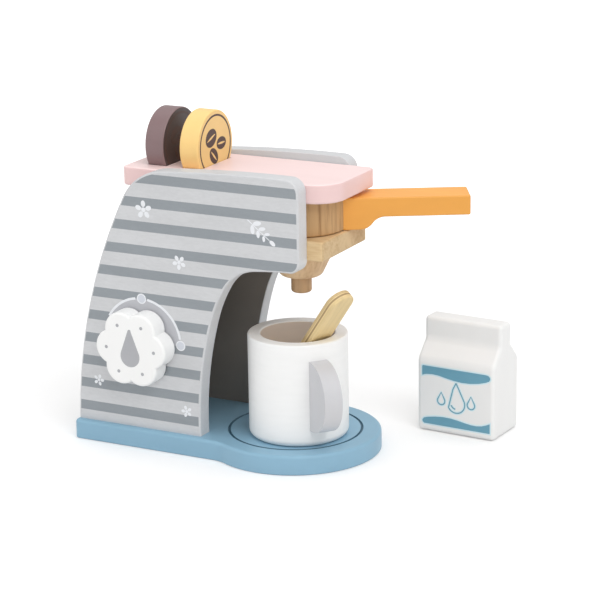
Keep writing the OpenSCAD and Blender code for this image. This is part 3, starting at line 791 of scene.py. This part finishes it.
class MakePanelPrints(bpy.types.Operator):
    """Print the near panel's motifs and the dial behind the knob"""
    bl_idname = "toy_coffee.panel_prints"
    bl_label = "Panel Prints"

    def execute(self, context):
        tones, radius = colours(), size("dial_radius")
        hub = (KNOB_X + DIAL_OFFSET[0], KNOB_Z + DIAL_OFFSET[1])
        white = paint("white_print", tones.print_white, 0.45)

        def on_panel(name, outlines, material, layer=0):
            prints(name, outlines, lambda x, z: (x, -PANEL_OUT, z), (0, -1, 0),
                   "machine", material, layer)
        on_panel("dial_ground", [arc(hub, radius, 0, DIAL_END, 60) + [hub]],
                 paint("dial_paint", tones.dial, 0.45))
        bands = [arc(hub, radius + DIAL_LINE, a, b, 40) + arc(hub, radius - DIAL_LINE, b, a, 40)
                 for a, b in DIAL_SWEEPS]
        marks = [(hub[0] + radius, hub[1] + 0.3), (hub[0] + 0.2, hub[1] + radius)]
        on_panel("dial_marks", bands + [disc(place, DIAL_MARK) for place in marks], white, 1)
        on_panel("dial_dots", [disc(place, DIAL_DOT) for place in marks],
                 paint("dot_paint", tones.dot, 0.45), 2)
        motifs = [petal for flower in BLOSSOMS for petal in blossom(*flower)]
        on_panel("panel_motifs", motifs + sprig(*SPRIG), white)
        return {"FINISHED"}


# ---------- rear board and top plate ----------

REAR_THICK = 8


class MakeRearBoard(bpy.types.Operator):
    """Model the board that closes the machine behind"""
    bl_idname = "toy_coffee.rear_board"
    bl_label = "Rear Board"

    def execute(self, context):
        lowest, highest = extent("rear_board")
        lean = math.radians(13.3)
        # The lean and the board's run in its box depend on each other, so they settle in rounds
        for _ in range(20):
            rise = highest.z - lowest.z - REAR_THICK * math.sin(lean)
            run = highest.x - lowest.x - REAR_THICK * math.cos(lean)
            lean = math.atan2(run, rise)
        foot = Vector((lowest.x, SIDE_PLAY - PANEL_IN, lowest.z + REAR_THICK * math.sin(lean)))
        up = Vector((math.sin(lean), 0, math.cos(lean))) * math.hypot(run, rise)
        across = Vector((math.cos(lean), 0, -math.sin(lean))) * REAR_THICK
        piece = begin("rear_board_dressed")
        slab([foot, foot + up, foot + up + across, foot + across],
             (0, 2 * (PANEL_IN - SIDE_PLAY), 0))
        round_edges(0.8, segments=3)
        # Painted shade: the rear board takes the same dark tone as the machine's inner faces
        finish(piece, "machine", ["rear_board"],
               [paint("rear_painted_shade", colours().inside, 0.6)])
        return {"FINISHED"}


PLATE_BIG_CORNER = 17.0
PLATE_CORNER = 3.5
SLOT_HALF_WIDTH = 6.3
SLOT_HALF_LENGTH = 17.32


class MakeTopPlate(bpy.types.Operator):
    """Model the top plate with its two pod slots"""
    bl_idname = "toy_coffee.top_plate"
    bl_label = "Top Plate"

    def execute(self, context):
        lowest, highest = extent("top_plate")
        left, right = lowest.x + PLATE_CORNER, highest.x - PLATE_CORNER
        near, far = lowest.y + PLATE_CORNER, highest.y - PLATE_CORNER
        thick, big = highest.z - lowest.z, PLATE_BIG_CORNER
        outline = arc((highest.x - big, lowest.y + big), big, -90, 0, 20)
        for corner, start in (((right, far), 0), ((left, far), 90), ((left, near), 180)):
            outline += arc(corner, PLATE_CORNER, start, start + 90, 8)
        piece = begin("top_plate_dressed")
        slab([(x, y, lowest.z) for x, y in outline], (0, 0, thick))
        round_edges(size("plate_edge"))
        for node in ("pod_caramel", "pod_espresso"):
            cutter = begin("cutter")
            slab([(centre_of(node).x + across * SLOT_HALF_WIDTH, along * SLOT_HALF_LENGTH,
                   lowest.z - 1) for across, along in ((-1, -1), (1, -1), (1, 1), (-1, 1))],
                 (0, 0, thick + 2))
            outwards()
            cut_with(piece, cutter)
        coat = {"gloss": 0.36, "grain": (0.12, 1, 1), "ripple": 0.2, "mottle": 0.025}
        finish(piece, "machine", ["top_plate"],
               [paint("plate_paint", colours().top, **coat),
                paint("plate_side_painted_shade", colours().top_side_shade, **coat)])
        # Painted shade: the faces of the plate's sides take the darker copy of its paint
        recoat(piece, 1, lambda normal, at: abs(normal.z) < 0.6)
        return {"FINISHED"}


# ---------- funnel and filter ----------

CONE_FOOT = 13.0
CONE_EDGE = 4.0
SPOUT_EDGE = 1.6
SPOUT_TOP_EDGE = 0.8
BOARD_CORNER = 1.6
END_GRAIN = 0.84


class MakeFunnel(bpy.types.Operator):
    """Model the drip funnel: its board, its cone and its spout"""
    bl_idname = "toy_coffee.funnel"
    bl_label = "Drip Funnel"

    def execute(self, context):
        tones = colours()
        lowest, highest = extent("funnel_slab")
        near, far = lowest.y + SIDE_PLAY, highest.y - SIDE_PLAY
        half_way = (lowest.z + highest.z) / 2
        piece = begin("funnel_board")
        slab([(x, y, lowest.z) for x, y in
              ((lowest.x, near), (highest.x, near), (highest.x, far), (lowest.x, far))],
             (0, 0, highest.z - lowest.z))
        round_edges(BOARD_CORNER, lambda at: abs(at.z - half_way) < 1)
        round_edges(size("wood_edge"), lambda at: abs(at.z - half_way) > 1)
        finish(piece, "machine", ["funnel_slab"],
               [pale_wood("funnel_wood", (0.12, 1, 1)),
                pale_wood("funnel_end_grain", (0.12, 1, 1), END_GRAIN)])
        recoat(piece, 1, lambda normal, at: abs(normal.x) > 0.7)

        wide, tall, foot = turned_size("funnel_cone")
        slope = math.degrees(math.atan2(wide - CONE_FOOT, tall))
        profile = [(0, 0)] + arc((CONE_FOOT - CONE_EDGE, CONE_EDGE), CONE_EDGE, -90, -slope, 10)
        profile += [(wide, tall), (0, tall)]
        finish(turned("funnel_cone_dressed", FILTER_X, 0, foot, profile),
               "machine", ["funnel_cone"],
               [wood("cone_wood", tones.cone_light, tones.cone_dark, (1, 1, 0.15))])

        radius, tall, foot = turned_size("spout_dowel")
        profile = [(0, 0)] + arc((radius - SPOUT_EDGE, SPOUT_EDGE), SPOUT_EDGE, -90, 0, 8)
        profile += arc((radius - SPOUT_TOP_EDGE, tall - SPOUT_TOP_EDGE), SPOUT_TOP_EDGE, 0, 90, 4)
        profile += [(0, tall)]
        finish(turned("spout", FILTER_X, 0, foot, profile, 64),
               "machine", ["spout_dowel"],
               [wood("spout_wood", tones.peg_light, tones.peg_dark, (1, 1, 0.12))])
        return {"FINISHED"}


HANDLE_ANGLE = 29.6
HANDLE_REACH = 93.7
HANDLE_HALF = 11.15
HANDLE_START = 22.4
HANDLE_SEAT = 25.7
HANDLE_SEAT_CUT = (120, 160)
HANDLE_END_EDGE = 1.3
# Painted light: the handle's upward faces take a lighter copy of its paint, as if lit from above
HANDLE_TOP_PAINTED_LIGHT = 1.16
GRIP_HEIGHT = 11.0
ROOT_REACH = 32.5
ROOT_CURVE = 14.0


class MakeFilter(bpy.types.Operator):
    """Model the filter drum and its handle"""
    bl_idname = "toy_coffee.filter"
    bl_label = "Filter and Handle"

    def execute(self, context):
        tones, edge = colours(), size("wood_edge")
        radius, tall, foot = turned_size("filter_drum")
        profile = [(0, 0)] + arc((radius - edge, edge), edge, -90, 0, 5)
        profile += arc((radius - edge, tall - edge), edge, 0, 90, 5) + [(0, tall)]
        finish(turned("filter_drum_dressed", FILTER_X, 0, foot, profile, 128),
               "filter", ["filter_drum"],
               [wood("drum_wood", tones.brown_light, tones.brown_dark, (1, 1, 0.05),
                     fine=620, broad=160)])

        lowest, highest = extent("filter_handle")
        root, top = lowest.z, highest.z
        grip = top - GRIP_HEIGHT
        rise = grip - root
        bend = (rise ** 2 + ROOT_CURVE ** 2) / (4 * rise)
        swing = math.degrees(math.asin(ROOT_CURVE / 2 / bend))
        side_view = [(HANDLE_START, root)]
        side_view += arc((ROOT_REACH, root + bend), bend, -90, -90 + swing, 10)
        side_view += arc((ROOT_REACH + ROOT_CURVE, grip - bend), bend, 90 + swing, 90, 10)[1:]
        side_view += [(HANDLE_REACH, grip), (HANDLE_REACH, top), (HANDLE_START, top)]
        along = Vector((*unit(HANDLE_ANGLE), 0))
        across = Vector((-along.y, along.x, 0))
        axis = Vector((FILTER_X, 0, 0))
        piece = begin("filter_handle_dressed")
        slab([axis - across * HANDLE_HALF + along * s + Vector((0, 0, z)) for s, z in side_view],
             across * 2 * HANDLE_HALF)

        def far_out(at):
            return (at - axis).dot(along)
        round_edges(HANDLE_END_EDGE, lambda at: far_out(at) > HANDLE_REACH - 0.1
                    and abs(at.z - (top + grip) / 2) < 0.5)
        round_edges(size("grip_edge"), lambda at: far_out(at) > 25, sharp=30)
        start, end = HANDLE_SEAT_CUT
        seat = [(0, start), (HANDLE_SEAT, start), (HANDLE_SEAT, end), (0, end)]
        cut_with(piece, turned("cutter", FILTER_X, 0, 0, seat, 128))
        coat = {"gloss": 0.38, "grain": (0.3, 1, 1), "ripple": 0.15}
        finish(piece, "filter", ["filter_handle"],
               [paint("handle_paint", tones.handle, **coat),
                paint("handle_top_painted_light", shade(tones.handle, HANDLE_TOP_PAINTED_LIGHT), **coat)])
        # Painted light: upward faces get the lighter copy of the handle's paint
        recoat(piece, 1, lambda normal, at: normal.z > 0.9)
        dress("handle_dowel", pale_wood("dowel_wood", (0.15, 1, 1)))
        return {"FINISHED"}


# ---------- knob ----------

LOBES = 6
KNOB_RADIUS = 22.6
LOBE_RADIUS = 10.3
KNOB_SET_BACK = 0.1
KNOB_BACK_EDGE = 0.8
# The pointer's round foot and its tip, each a height over the axis and a radius
POINTER_FOOT = (-4, 6.2)
POINTER_TIP = (10.8, 1.0)
TICK_RADIUS = 15.5
TICK_SIZE = 1.0


def knob_outline():
    """Six lobes round the knob's axis, from valley to valley."""
    hub, step = KNOB_RADIUS - LOBE_RADIUS, 360 / LOBES
    c, s = unit(step / 2)
    meet = hub * c + math.sqrt(LOBE_RADIUS ** 2 - (hub * s) ** 2)
    bend = math.degrees(math.atan2(meet * s, meet * c - hub))
    lobe = arc((hub, 0), LOBE_RADIUS, -bend, bend, 22)[1:]
    return [point for i in range(LOBES) for point in placed(lobe, KNOB_X, KNOB_Z, i * step)]


class MakeKnob(bpy.types.Operator):
    """Model the scalloped knob and its printed pointer"""
    bl_idname = "toy_coffee.knob"
    bl_label = "Knob"

    def execute(self, context):
        tones = colours()
        lowest, highest = extent("knob")
        front, back = lowest.y + KNOB_SET_BACK, highest.y
        piece = begin("knob_dressed")
        slab([(x, back, z) for x, z in knob_outline()], (0, front - back, 0))
        round_edges(size("knob_edge"), lambda at: at.y < front + HAIR, segments=8)
        round_edges(KNOB_BACK_EDGE, lambda at: at.y > back - HAIR, segments=3)
        finish(piece, "dial", ["knob"],
               [paint("knob_paint", tones.mug_white, 0.36, (1, 1, 0.3), 0.12, 0.01)], 45)
        (foot, wide), (tip, narrow) = POINTER_FOOT, POINTER_TIP
        drop = arc((KNOB_X, KNOB_Z + foot), wide, 160, 380, 36)
        drop += [(KNOB_X + narrow, KNOB_Z + tip - 0.3)]
        drop += arc((KNOB_X, KNOB_Z + tip), narrow, 20, 160, 8)
        ticks = [disc(place, TICK_SIZE, 20)
                 for place in arc((KNOB_X, KNOB_Z), TICK_RADIUS, 0, 300, 5)]
        prints("knob_pointer", [drop] + ticks, lambda x, z: (x, front, z), (0, -1, 0),
               "dial", paint("pointer_print", tones.print_grey, 0.45))
        dowel = pale_wood("axle_wood", (1, 0.15, 1))
        dress("knob_axle", dowel)
        dress("knob_retainer", dowel)
        dress("knob_washer", paint("washer_plastic", tones.washer, 0.5))
        return {"FINISHED"}


# ---------- pods ----------

# Painted shade on each pod's flat ends beside its rim: a factor on the pod's colour, darkest on
# the rear pod, which lies in the front pod's shade
POD_END_SHADE = {"pod_caramel": 0.88, "pod_espresso": 0.26}
RING_PRINT = 17.0
RING_LINE = 0.55
# Beans: place across and up, half lengths both ways, and turn
BEANS = ((-4.7, 4.8, 6.3, 5.0, 20), (6.6, 0.1, 5.3, 3.6, 0), (-2.1, -5.8, 5.4, 3.9, -45))


def bean_slit(across, up, long, turn):
    """The slit along a bean, pointed at both ends."""
    slit = []
    for side in (1, -1):
        for i in range(13)[::side]:
            along = -0.76 + 1.52 * i / 12
            slit.append((along * long, side * 0.62 * (1 - 1.4 * along ** 2)))
    return placed(slit, across, up, turn)


class MakePods(bpy.types.Operator):
    """Model the two coffee pods and print their rings and beans"""
    bl_idname = "toy_coffee.pods"
    bl_label = "Coffee Pods"

    def execute(self, context):
        tones, rise, edge = colours(), size("print_rise"), size("pod_edge")
        dark = paint("pod_print", tones.print_dark, 0.5)
        for node, body, slot, colour in (
                ("pod_caramel", "front_pod", "caramel_paint", tones.caramel),
                ("pod_espresso", "rear_pod", "espresso_paint", tones.espresso)):
            lowest, highest = extent(node)
            z, face = (lowest.z + highest.z) / 2, highest.x
            radius, thick = (highest.z - lowest.z) / 2, highest.x - lowest.x
            profile = [(0, 0)] + arc((edge, radius - edge), edge, 180, 90, 6)
            profile += arc((thick - edge, radius - edge), edge, 90, 0, 6) + [(thick, 0)]
            piece = begin(node + "_dressed")
            revolve([(lowest.x + x, 0, z + r) for x, r in profile], (0, 0, z), (1, 0, 0), 128)
            coat = {"gloss": 0.36, "grain": (0.3, 1, 1), "ripple": 0.15}
            # Painted shade: a darker copy of the pod's paint for its flat ends
            end_shade_coat = paint(node + "_end_painted_shade", shade(colour, POD_END_SHADE[node]), **coat)
            finish(piece, body, [node], [paint(node + "_paint", colour, **coat), end_shade_coat])
            recoat(piece, 1, lambda normal, at: abs(normal.x) > 0.9)
            piece = begin(node + "_ring")
            revolve([(face + x, 0, z + RING_PRINT + r) for x, r in
                     ((-PRINT_SINK, -RING_LINE), (rise, -RING_LINE), (rise, RING_LINE),
                      (-PRINT_SINK, RING_LINE))], (0, 0, z), (1, 0, 0), 96, closed=True)
            finish(piece, body, (), [dark])

            def on_face(name, outlines, material, layer):
                prints(node + name, outlines, lambda y, up: (face, y, z + up), (1, 0, 0),
                       body, material, layer)
            on_face("_print", [ellipse((y, up), long, short, turn)
                               for y, up, long, short, turn in BEANS], dark, 0)
            # The slits take the colour of the ends' painted shade
            on_face("_slits", [bean_slit(y, up, long, turn)
                               for y, up, long, short, turn in BEANS], end_shade_coat, 1)
        return {"FINISHED"}


# ---------- mug and spoon ----------

MUG_HOLLOW = 20.9
MUG_DEPTH = 45.5
MUG_RIM = 1.0
MUG_FOOT_EDGE = 4.0
MUG_WELL_EDGE = 5.0
MUG_HANDLE_ANGLE = -39.4
MUG_HANDLE_RADIUS = 20.1
MUG_HANDLE_STANDS_OUT = 21.3
MUG_HANDLE_THICK = 10.6
MUG_HANDLE_MIDDLE = 30.1
MUG_HANDLE_START = 27.0
MUG_HANDLE_EDGES_START = 28.4


class MakeMug(bpy.types.Operator):
    """Model the turned mug and its D-shaped handle"""
    bl_idname = "toy_coffee.mug"
    bl_label = "Mug"

    def execute(self, context):
        tones = colours()
        radius, tall, foot = turned_size("mug_body")
        floor, rim, well, hollow = tall - MUG_DEPTH, MUG_RIM, MUG_WELL_EDGE, MUG_HOLLOW
        profile = [(0, 0)]
        profile += arc((radius - MUG_FOOT_EDGE, MUG_FOOT_EDGE), MUG_FOOT_EDGE, -90, 0, 10)
        profile += arc((radius - rim, tall - rim), rim, 0, 90, 10)
        profile += arc((hollow + rim, tall - rim), rim, 90, 180, 10)
        profile += arc((hollow - well, floor + well), well, 0, -90, 10) + [(0, floor)]
        piece = turned("mug_turned", MUG_X, MUG_Y, foot, profile, 128)
        finish(piece, "mug", ["mug_body"],
               [paint("mug_paint", tones.mug_white, 0.38, (1, 1, 6), 0.5, 0.012),
                paint("mug_inner_paint", tones.mug_inner, 0.5, (1, 1, 6), 0.3, 0.012)])
        recoat(piece, 1, lambda normal, at: at.z - foot > floor - HAIR
               and math.hypot(at.x - MUG_X, at.y - MUG_Y) < hollow + 0.1)

        centre = (radius + MUG_HANDLE_STANDS_OUT - MUG_HANDLE_RADIUS, MUG_HANDLE_MIDDLE)
        start = math.degrees(math.acos((MUG_HANDLE_START - centre[0]) / MUG_HANDLE_RADIUS))
        along = Vector((*unit(MUG_HANDLE_ANGLE), 0))
        across = Vector((-along.y, along.x, 0)) * MUG_HANDLE_THICK
        origin = Vector((MUG_X, MUG_Y, foot)) - across / 2
        piece = begin("mug_handle_dressed")
        slab([origin + along * s + Vector((0, 0, z))
              for s, z in arc(centre, MUG_HANDLE_RADIUS, -start, start, 48)], across)
        round_edges(size("mug_handle_edge"),
                    lambda at: (at - origin).dot(along) > MUG_HANDLE_EDGES_START)
        outwards()
        finish(piece, "mug", ["mug_handle"],
               [paint("mug_handle_paint", tones.mug_handle, 0.4, (1, 1, 0.4), 0.12, 0.015)])
        dress("mug_dowels", pale_wood("mug_dowel_wood", (0.15, 1, 1)))
        return {"FINISHED"}


SPOON_LEAN = 37.5
SPOON_ANGLE = -19.5
SPOON_HALF = 8.25
SPOON_THICK = 5.6
SPOON_PLAY = 0.25
SPOON_ABOVE = 35.0


class MakeSpoon(bpy.types.Operator):
    """Model the plywood spoon that leans in the mug"""
    bl_idname = "toy_coffee.spoon"
    bl_label = "Spoon"

    def execute(self, context):
        tones, lean, half = colours(), math.radians(SPOON_LEAN), SPOON_HALF
        mug_top = extent("mug_body")[1].z
        chord = math.sqrt((MUG_HOLLOW + MUG_RIM) ** 2 - half ** 2)
        at_rim = chord - (MUG_RIM + SPOON_PLAY - MUG_RIM * math.sin(lean)) / math.cos(lean)
        below = (MUG_DEPTH - SPOON_PLAY) / math.cos(lean)
        place = Matrix.Translation((MUG_X, MUG_Y, mug_top))
        place = place @ Matrix.Rotation(math.radians(SPOON_ANGLE), 4, "Z")
        place = place @ Matrix.Translation((at_rim, 0, 0)) @ Matrix.Rotation(lean, 4, "Y")
        outline = arc((0, SPOON_ABOVE - half), half, 0, 180, 24)
        outline += arc((0, half - below), half, 180, 360, 24)
        piece = begin("spoon_dressed")
        slab([place @ Vector((0, y, z)) for y, z in outline],
             place.to_3x3() @ Vector((-SPOON_THICK, 0, 0)))
        round_edges(size("spoon_edge"), segments=4)
        inverse = place.inverted()
        finish(piece, "stirrer", ["spoon"],
               [plywood("spoon_plywood", tones.ply_light, tones.ply_dark,
                        inverse.to_euler("XYZ"), -SPOON_THICK / 2 - inverse.translation.x,
                        SPOON_THICK)])
        return {"FINISHED"}


# ---------- milk carton ----------

CARTON_CORNER = (50.4, 56.1, 0)
CARTON_TURN = -3.5
CARTON_SIZE = (49.5, 31.8, 66.5)
CARTON_BODY = 43.7
CARTON_BAND = 13.0
CARTON_INSET = 9.4
HALO = 0.75
LINE_HALF = 0.36
LINE_HALO_HALF = 0.95

# The printed bands, from the carton's lower left corner: places across, and heights
UPPER_BAND = ((3.4, 33.6), (5.9, 34.5), (9.9, 34.9), (14.3, 34.6), (18.8, 33.7), (23.8, 32.9),
              (28.8, 32.5), (34.3, 32.7), (39.8, 33.6), (44.3, 34.9), (46.4, 35.9), (47.2, 37.1),
              (47.0, 38.3), (46.0, 39.2), (44.3, 39.5), (3.9, 39.6), (3.4, 39.1))
LOWER_BAND = ((47.0, 4.5), (47.0, 10.4), (44.8, 9.4), (41.8, 8.3), (38.3, 7.8), (34.8, 7.9),
              (31.2, 8.4), (26.8, 9.2), (21.8, 9.8), (16.8, 9.9), (11.8, 9.4), (6.9, 8.5),
              (4.5, 7.7), (3.5, 6.5), (3.6, 5.4), (4.7, 4.5))


def heading(start, end):
    return Vector((end[0] - start[0], end[1] - start[1])).normalized()


def widened(outline, border):
    """A closed outline, moved out by a border; corners keep their place along the outline."""
    count = len(outline)
    area = sum(outline[i - 1][0] * outline[i][1] - outline[i][0] * outline[i - 1][1]
               for i in range(count))
    sense = 1 if area > 0 else -1
    moved = []
    for i, point in enumerate(outline):
        one = heading(outline[i - 1], point)
        way = (one + heading(point, outline[(i + 1) % count])).normalized()
        grow = sense * border / max(0.6, way.dot(one))
        moved.append((point[0] + way.y * grow, point[1] - way.x * grow))
    return moved


def stroke(line, half):
    """An open line as a closed band of a given half width."""
    last, sides = len(line) - 1, []
    for sense in (1, -1):
        for i, (x, z) in list(enumerate(line))[::sense]:
            way = heading(line[max(0, i - 1)], line[min(last, i + 1)]) * sense * half
            sides.append((x - way.y, z + way.x))
    return sides


DROP_RADIUS = 5.6
DROP_TIP = 12.5
GLINT_RADIUS = 3.3
SMALL_DROP_RADIUS = 2.4
SMALL_DROP_TIP = 5.2
DROP_PITCH = 9.6


def drop_lines(across, up):
    """A big drop with a glint in it, between two small ones, as open lines."""
    outer = arc((across, up), DROP_RADIUS, 210, 390, 30)
    tip = (across, up + DROP_TIP)
    lines = [[tip, (across - 2.0, up + 8.6)] + outer[:16],
             outer[15:] + [(across + 2.0, up + 8.6), tip],
             arc((across, up), GLINT_RADIUS, 200, 262, 12)]
    reach = SMALL_DROP_RADIUS * unit(30)[0]
    for x, z in ((across - DROP_PITCH, up + 0.5), (across + DROP_PITCH, up + 0.5)):
        lines.append(arc((x, z), SMALL_DROP_RADIUS, 150, 390, 18))
        lines.append([(x - reach, z + 1.2), (x, z + SMALL_DROP_TIP), (x + reach, z + 1.2)])
    return lines


class MakeCarton(bpy.types.Operator):
    """Model the milk carton and print its wavy bands and its drops"""
    bl_idname = "toy_coffee.carton"
    bl_label = "Milk Carton"

    def execute(self, context):
        tones = colours()
        wide, deep, tall = CARTON_SIZE
        place = Matrix.Translation(CARTON_CORNER)
        place = place @ Matrix.Rotation(math.radians(CARTON_TURN), 4, "Z")
        turn, band, inset = place.to_3x3(), tall - CARTON_BAND, CARTON_INSET
        end = [(0, 0), (deep, 0), (deep, CARTON_BODY), (deep - inset, band), (deep - inset, tall),
               (inset, tall), (inset, band), (0, CARTON_BODY)]
        piece = begin("carton_block")
        slab([place @ Vector((0, y, z)) for y, z in end], turn @ Vector((wide, 0, 0)))
        round_edges(size("carton_edge"), sharp=25, segments=6)
        finish(piece, "carton", ["milk_carton"],
               [paint("carton_paint_white", tones.white, 0.4, (1, 1, 0.4), 0.2, 0.01)], 45)

        def on_front(name, outlines, material, layer):
            prints(name, outlines, lambda x, z: place @ Vector((x, 0, z)),
                   turn @ Vector((0, -1, 0)), "carton", material, layer)
        bands, lines = [UPPER_BAND, LOWER_BAND], drop_lines(wide / 2 + 0.6, 19.2)
        on_front("carton_halo", [widened(band, HALO) for band in bands]
                 + [stroke(line, LINE_HALO_HALF) for line in lines],
                 paint("halo_print", tones.print_halo, 0.45), 0)
        on_front("carton_print", bands + [stroke(line, LINE_HALF) for line in lines],
                 paint("blue_print", tones.print_blue, 0.45), 1)
        return {"FINISHED"}


class DressFasteners(bpy.types.Operator):
    """Give the hidden dowels their wood"""
    bl_idname = "toy_coffee.fasteners"
    bl_label = "Dowels"

    def execute(self, context):
        dress("panel_dowels", pale_wood("panel_dowel_wood", (1, 0.15, 1)))
        return {"FINISHED"}


# ---------- stage ----------

# Places, sizes and distances on the stage are in metres; the camera's lens and sensor aren't
FLOOR_SIZE = 8
FLOOR_HEIGHT = -0.0002
FLOOR_WHITE = 0.86
GLOW_REACH = (0.2, 1.3)
GLOW = (0.17, 0.75)
FILL_LIGHT = 0.62
# Lamps: name, place, size and power in watts
LAMPS = (("key", (0.9, -0.7, 1.3), 1.1, 11.0),
         ("side", (-1.1, -0.9, 0.9), 1.2, 3.5),
         ("top", (-0.1, 0.3, 1.7), 1.4, 7.0))
LAMPS_AIM = (0, 0, 0.08)
CAMERA_AT = (0.58165, -1.0994, 0.4435)
CAMERA_AZIMUTH = 27.716
CAMERA_ELEVATION = 16.004
CAMERA_ROLL = -0.942
CAMERA_LENS = 138.15
CAMERA_SENSOR = 36


def shown_to(tree, rays, plain, shown):
    """One shader for two kinds of rays, and a plain one for all the others."""
    path = add(tree, "LightPath", {})
    either = add(tree, "Math", {0: path.outputs[rays[0]], 1: path.outputs[rays[1]]},
                 operation="MAXIMUM")
    return add(tree, "MixShader", {"Fac": either.outputs[0], 1: plain, 2: shown}).outputs[0]


def floor_white():
    """A matt white that seems lit from within, more so further off, and keeps its shadows."""
    made = material_of("studio_floor_white", lambda tree: {
        "Base Color": (*grey(FLOOR_WHITE), 1), "Roughness": 0.9, "Specular IOR Level": 0.1})
    tree = made.node_tree
    shader = tree.nodes["Principled BSDF"].outputs[0]
    place = add(tree, "TexCoord", {}).outputs["Object"]
    far = add(tree, "VectorMath", {0: place}, operation="LENGTH").outputs["Value"]
    glow = add(tree, "Emission", {"Strength": spread(tree, far, *GLOW, *GLOW_REACH)})
    clear = add(tree, "AddShader", {0: shader, 1: glow.outputs[0]}).outputs[0]
    put(tree, tree.nodes["Material Output"], {
        "Surface": shown_to(tree, ("Is Camera Ray", "Is Glossy Ray"), shader, clear)})
    return made


class MakeStage(bpy.types.Operator):
    """Set the floor, the studio lamps, the world and the camera"""
    bl_idname = "toy_coffee.stage"
    bl_label = "Stage"

    def execute(self, context):
        scene = context.scene
        scene.view_settings.view_transform = "Standard"
        clear_selection()
        bpy.ops.mesh.primitive_plane_add(size=FLOOR_SIZE, location=(0, 0, FLOOR_HEIGHT))
        floor = context.object
        floor.name = "studio_floor"
        floor.data.materials.append(floor_white())

        world = scene.world or bpy.data.worlds.new("studio")
        scene.world = world
        world.use_nodes = True
        tree = world.node_tree
        tree.nodes.clear()
        fill, backdrop = (add(tree, "Background", {"Strength": strength, "Color": (1, 1, 1, 1)})
                          for strength in (FILL_LIGHT, 1.0))
        add(tree, "OutputWorld", {
            "Surface": shown_to(tree, ("Is Camera Ray", "Is Transmission Ray"),
                                fill.outputs[0], backdrop.outputs[0])})

        for name, place, wide, power in LAMPS:
            bpy.ops.object.light_add(type="AREA", location=place)
            lamp = context.object
            lamp.name = name
            lamp.data.size = wide
            lamp.data.energy = power
            aim = Vector(LAMPS_AIM) - Vector(place)
            lamp.rotation_euler = aim.to_track_quat("-Z", "Y").to_euler()

        (ahead, aside), (level, rise) = unit(CAMERA_AZIMUTH), unit(CAMERA_ELEVATION)
        back = Vector((aside * level, -ahead * level, rise))
        side = (-back).cross(Vector(UPRIGHT)).normalized()
        up = side.cross(-back)
        c, s = unit(CAMERA_ROLL)
        bpy.ops.object.camera_add(location=CAMERA_AT)
        camera = context.object
        camera.name = "photo_camera"
        turned_axes = Matrix((c * side + s * up, c * up - s * side, back)).transposed().to_4x4()
        camera.matrix_world = Matrix.Translation(CAMERA_AT) @ turned_axes
        camera.data.sensor_width = CAMERA_SENSOR
        camera.data.lens = CAMERA_LENS
        scene.camera = camera
        return {"FINISHED"}


OPERATORS = (MakeBase, MakeSidePanels, MakePanelPrints, MakeRearBoard, MakeTopPlate, MakeFunnel,
             MakeFilter, MakeKnob, MakePods, MakeMug, MakeSpoon, MakeCarton, DressFasteners,
             MakeStage)


class ToyCoffeePanel(bpy.types.Panel):
    """Sizes, colours and one button for each group of pieces"""
    bl_idname = "VIEW3D_PT_toy_coffee"
    bl_label = "Toy Coffee Maker"
    bl_space_type = "VIEW_3D"
    bl_region_type = "UI"
    bl_category = "Toy Coffee Maker"

    def draw(self, context):
        for group in (context.scene.toy_coffee_sizes, context.scene.toy_coffee_colours):
            box = self.layout.box()
            for name in group.__annotations__:
                box.prop(group, name)
        for operator in OPERATORS:
            self.layout.operator(operator.bl_idname)


CLASSES = (ToyColours, ToySizes, *OPERATORS, ToyCoffeePanel)


def register():
    for each in CLASSES:
        bpy.utils.register_class(each)
    bpy.types.Scene.toy_coffee_colours = bpy.props.PointerProperty(type=ToyColours)
    bpy.types.Scene.toy_coffee_sizes = bpy.props.PointerProperty(type=ToySizes)


def unregister():
    del bpy.types.Scene.toy_coffee_sizes
    del bpy.types.Scene.toy_coffee_colours
    for each in reversed(CLASSES):
        bpy.utils.unregister_class(each)


def main():
    register()
    for operator in OPERATORS:
        group, name = operator.bl_idname.split(".")
        if getattr(getattr(bpy.ops, group), name)() != {"FINISHED"}:
            raise RuntimeError(operator.bl_label + " did not finish")
    clear_selection()


if __name__ == "__main__":
    main()
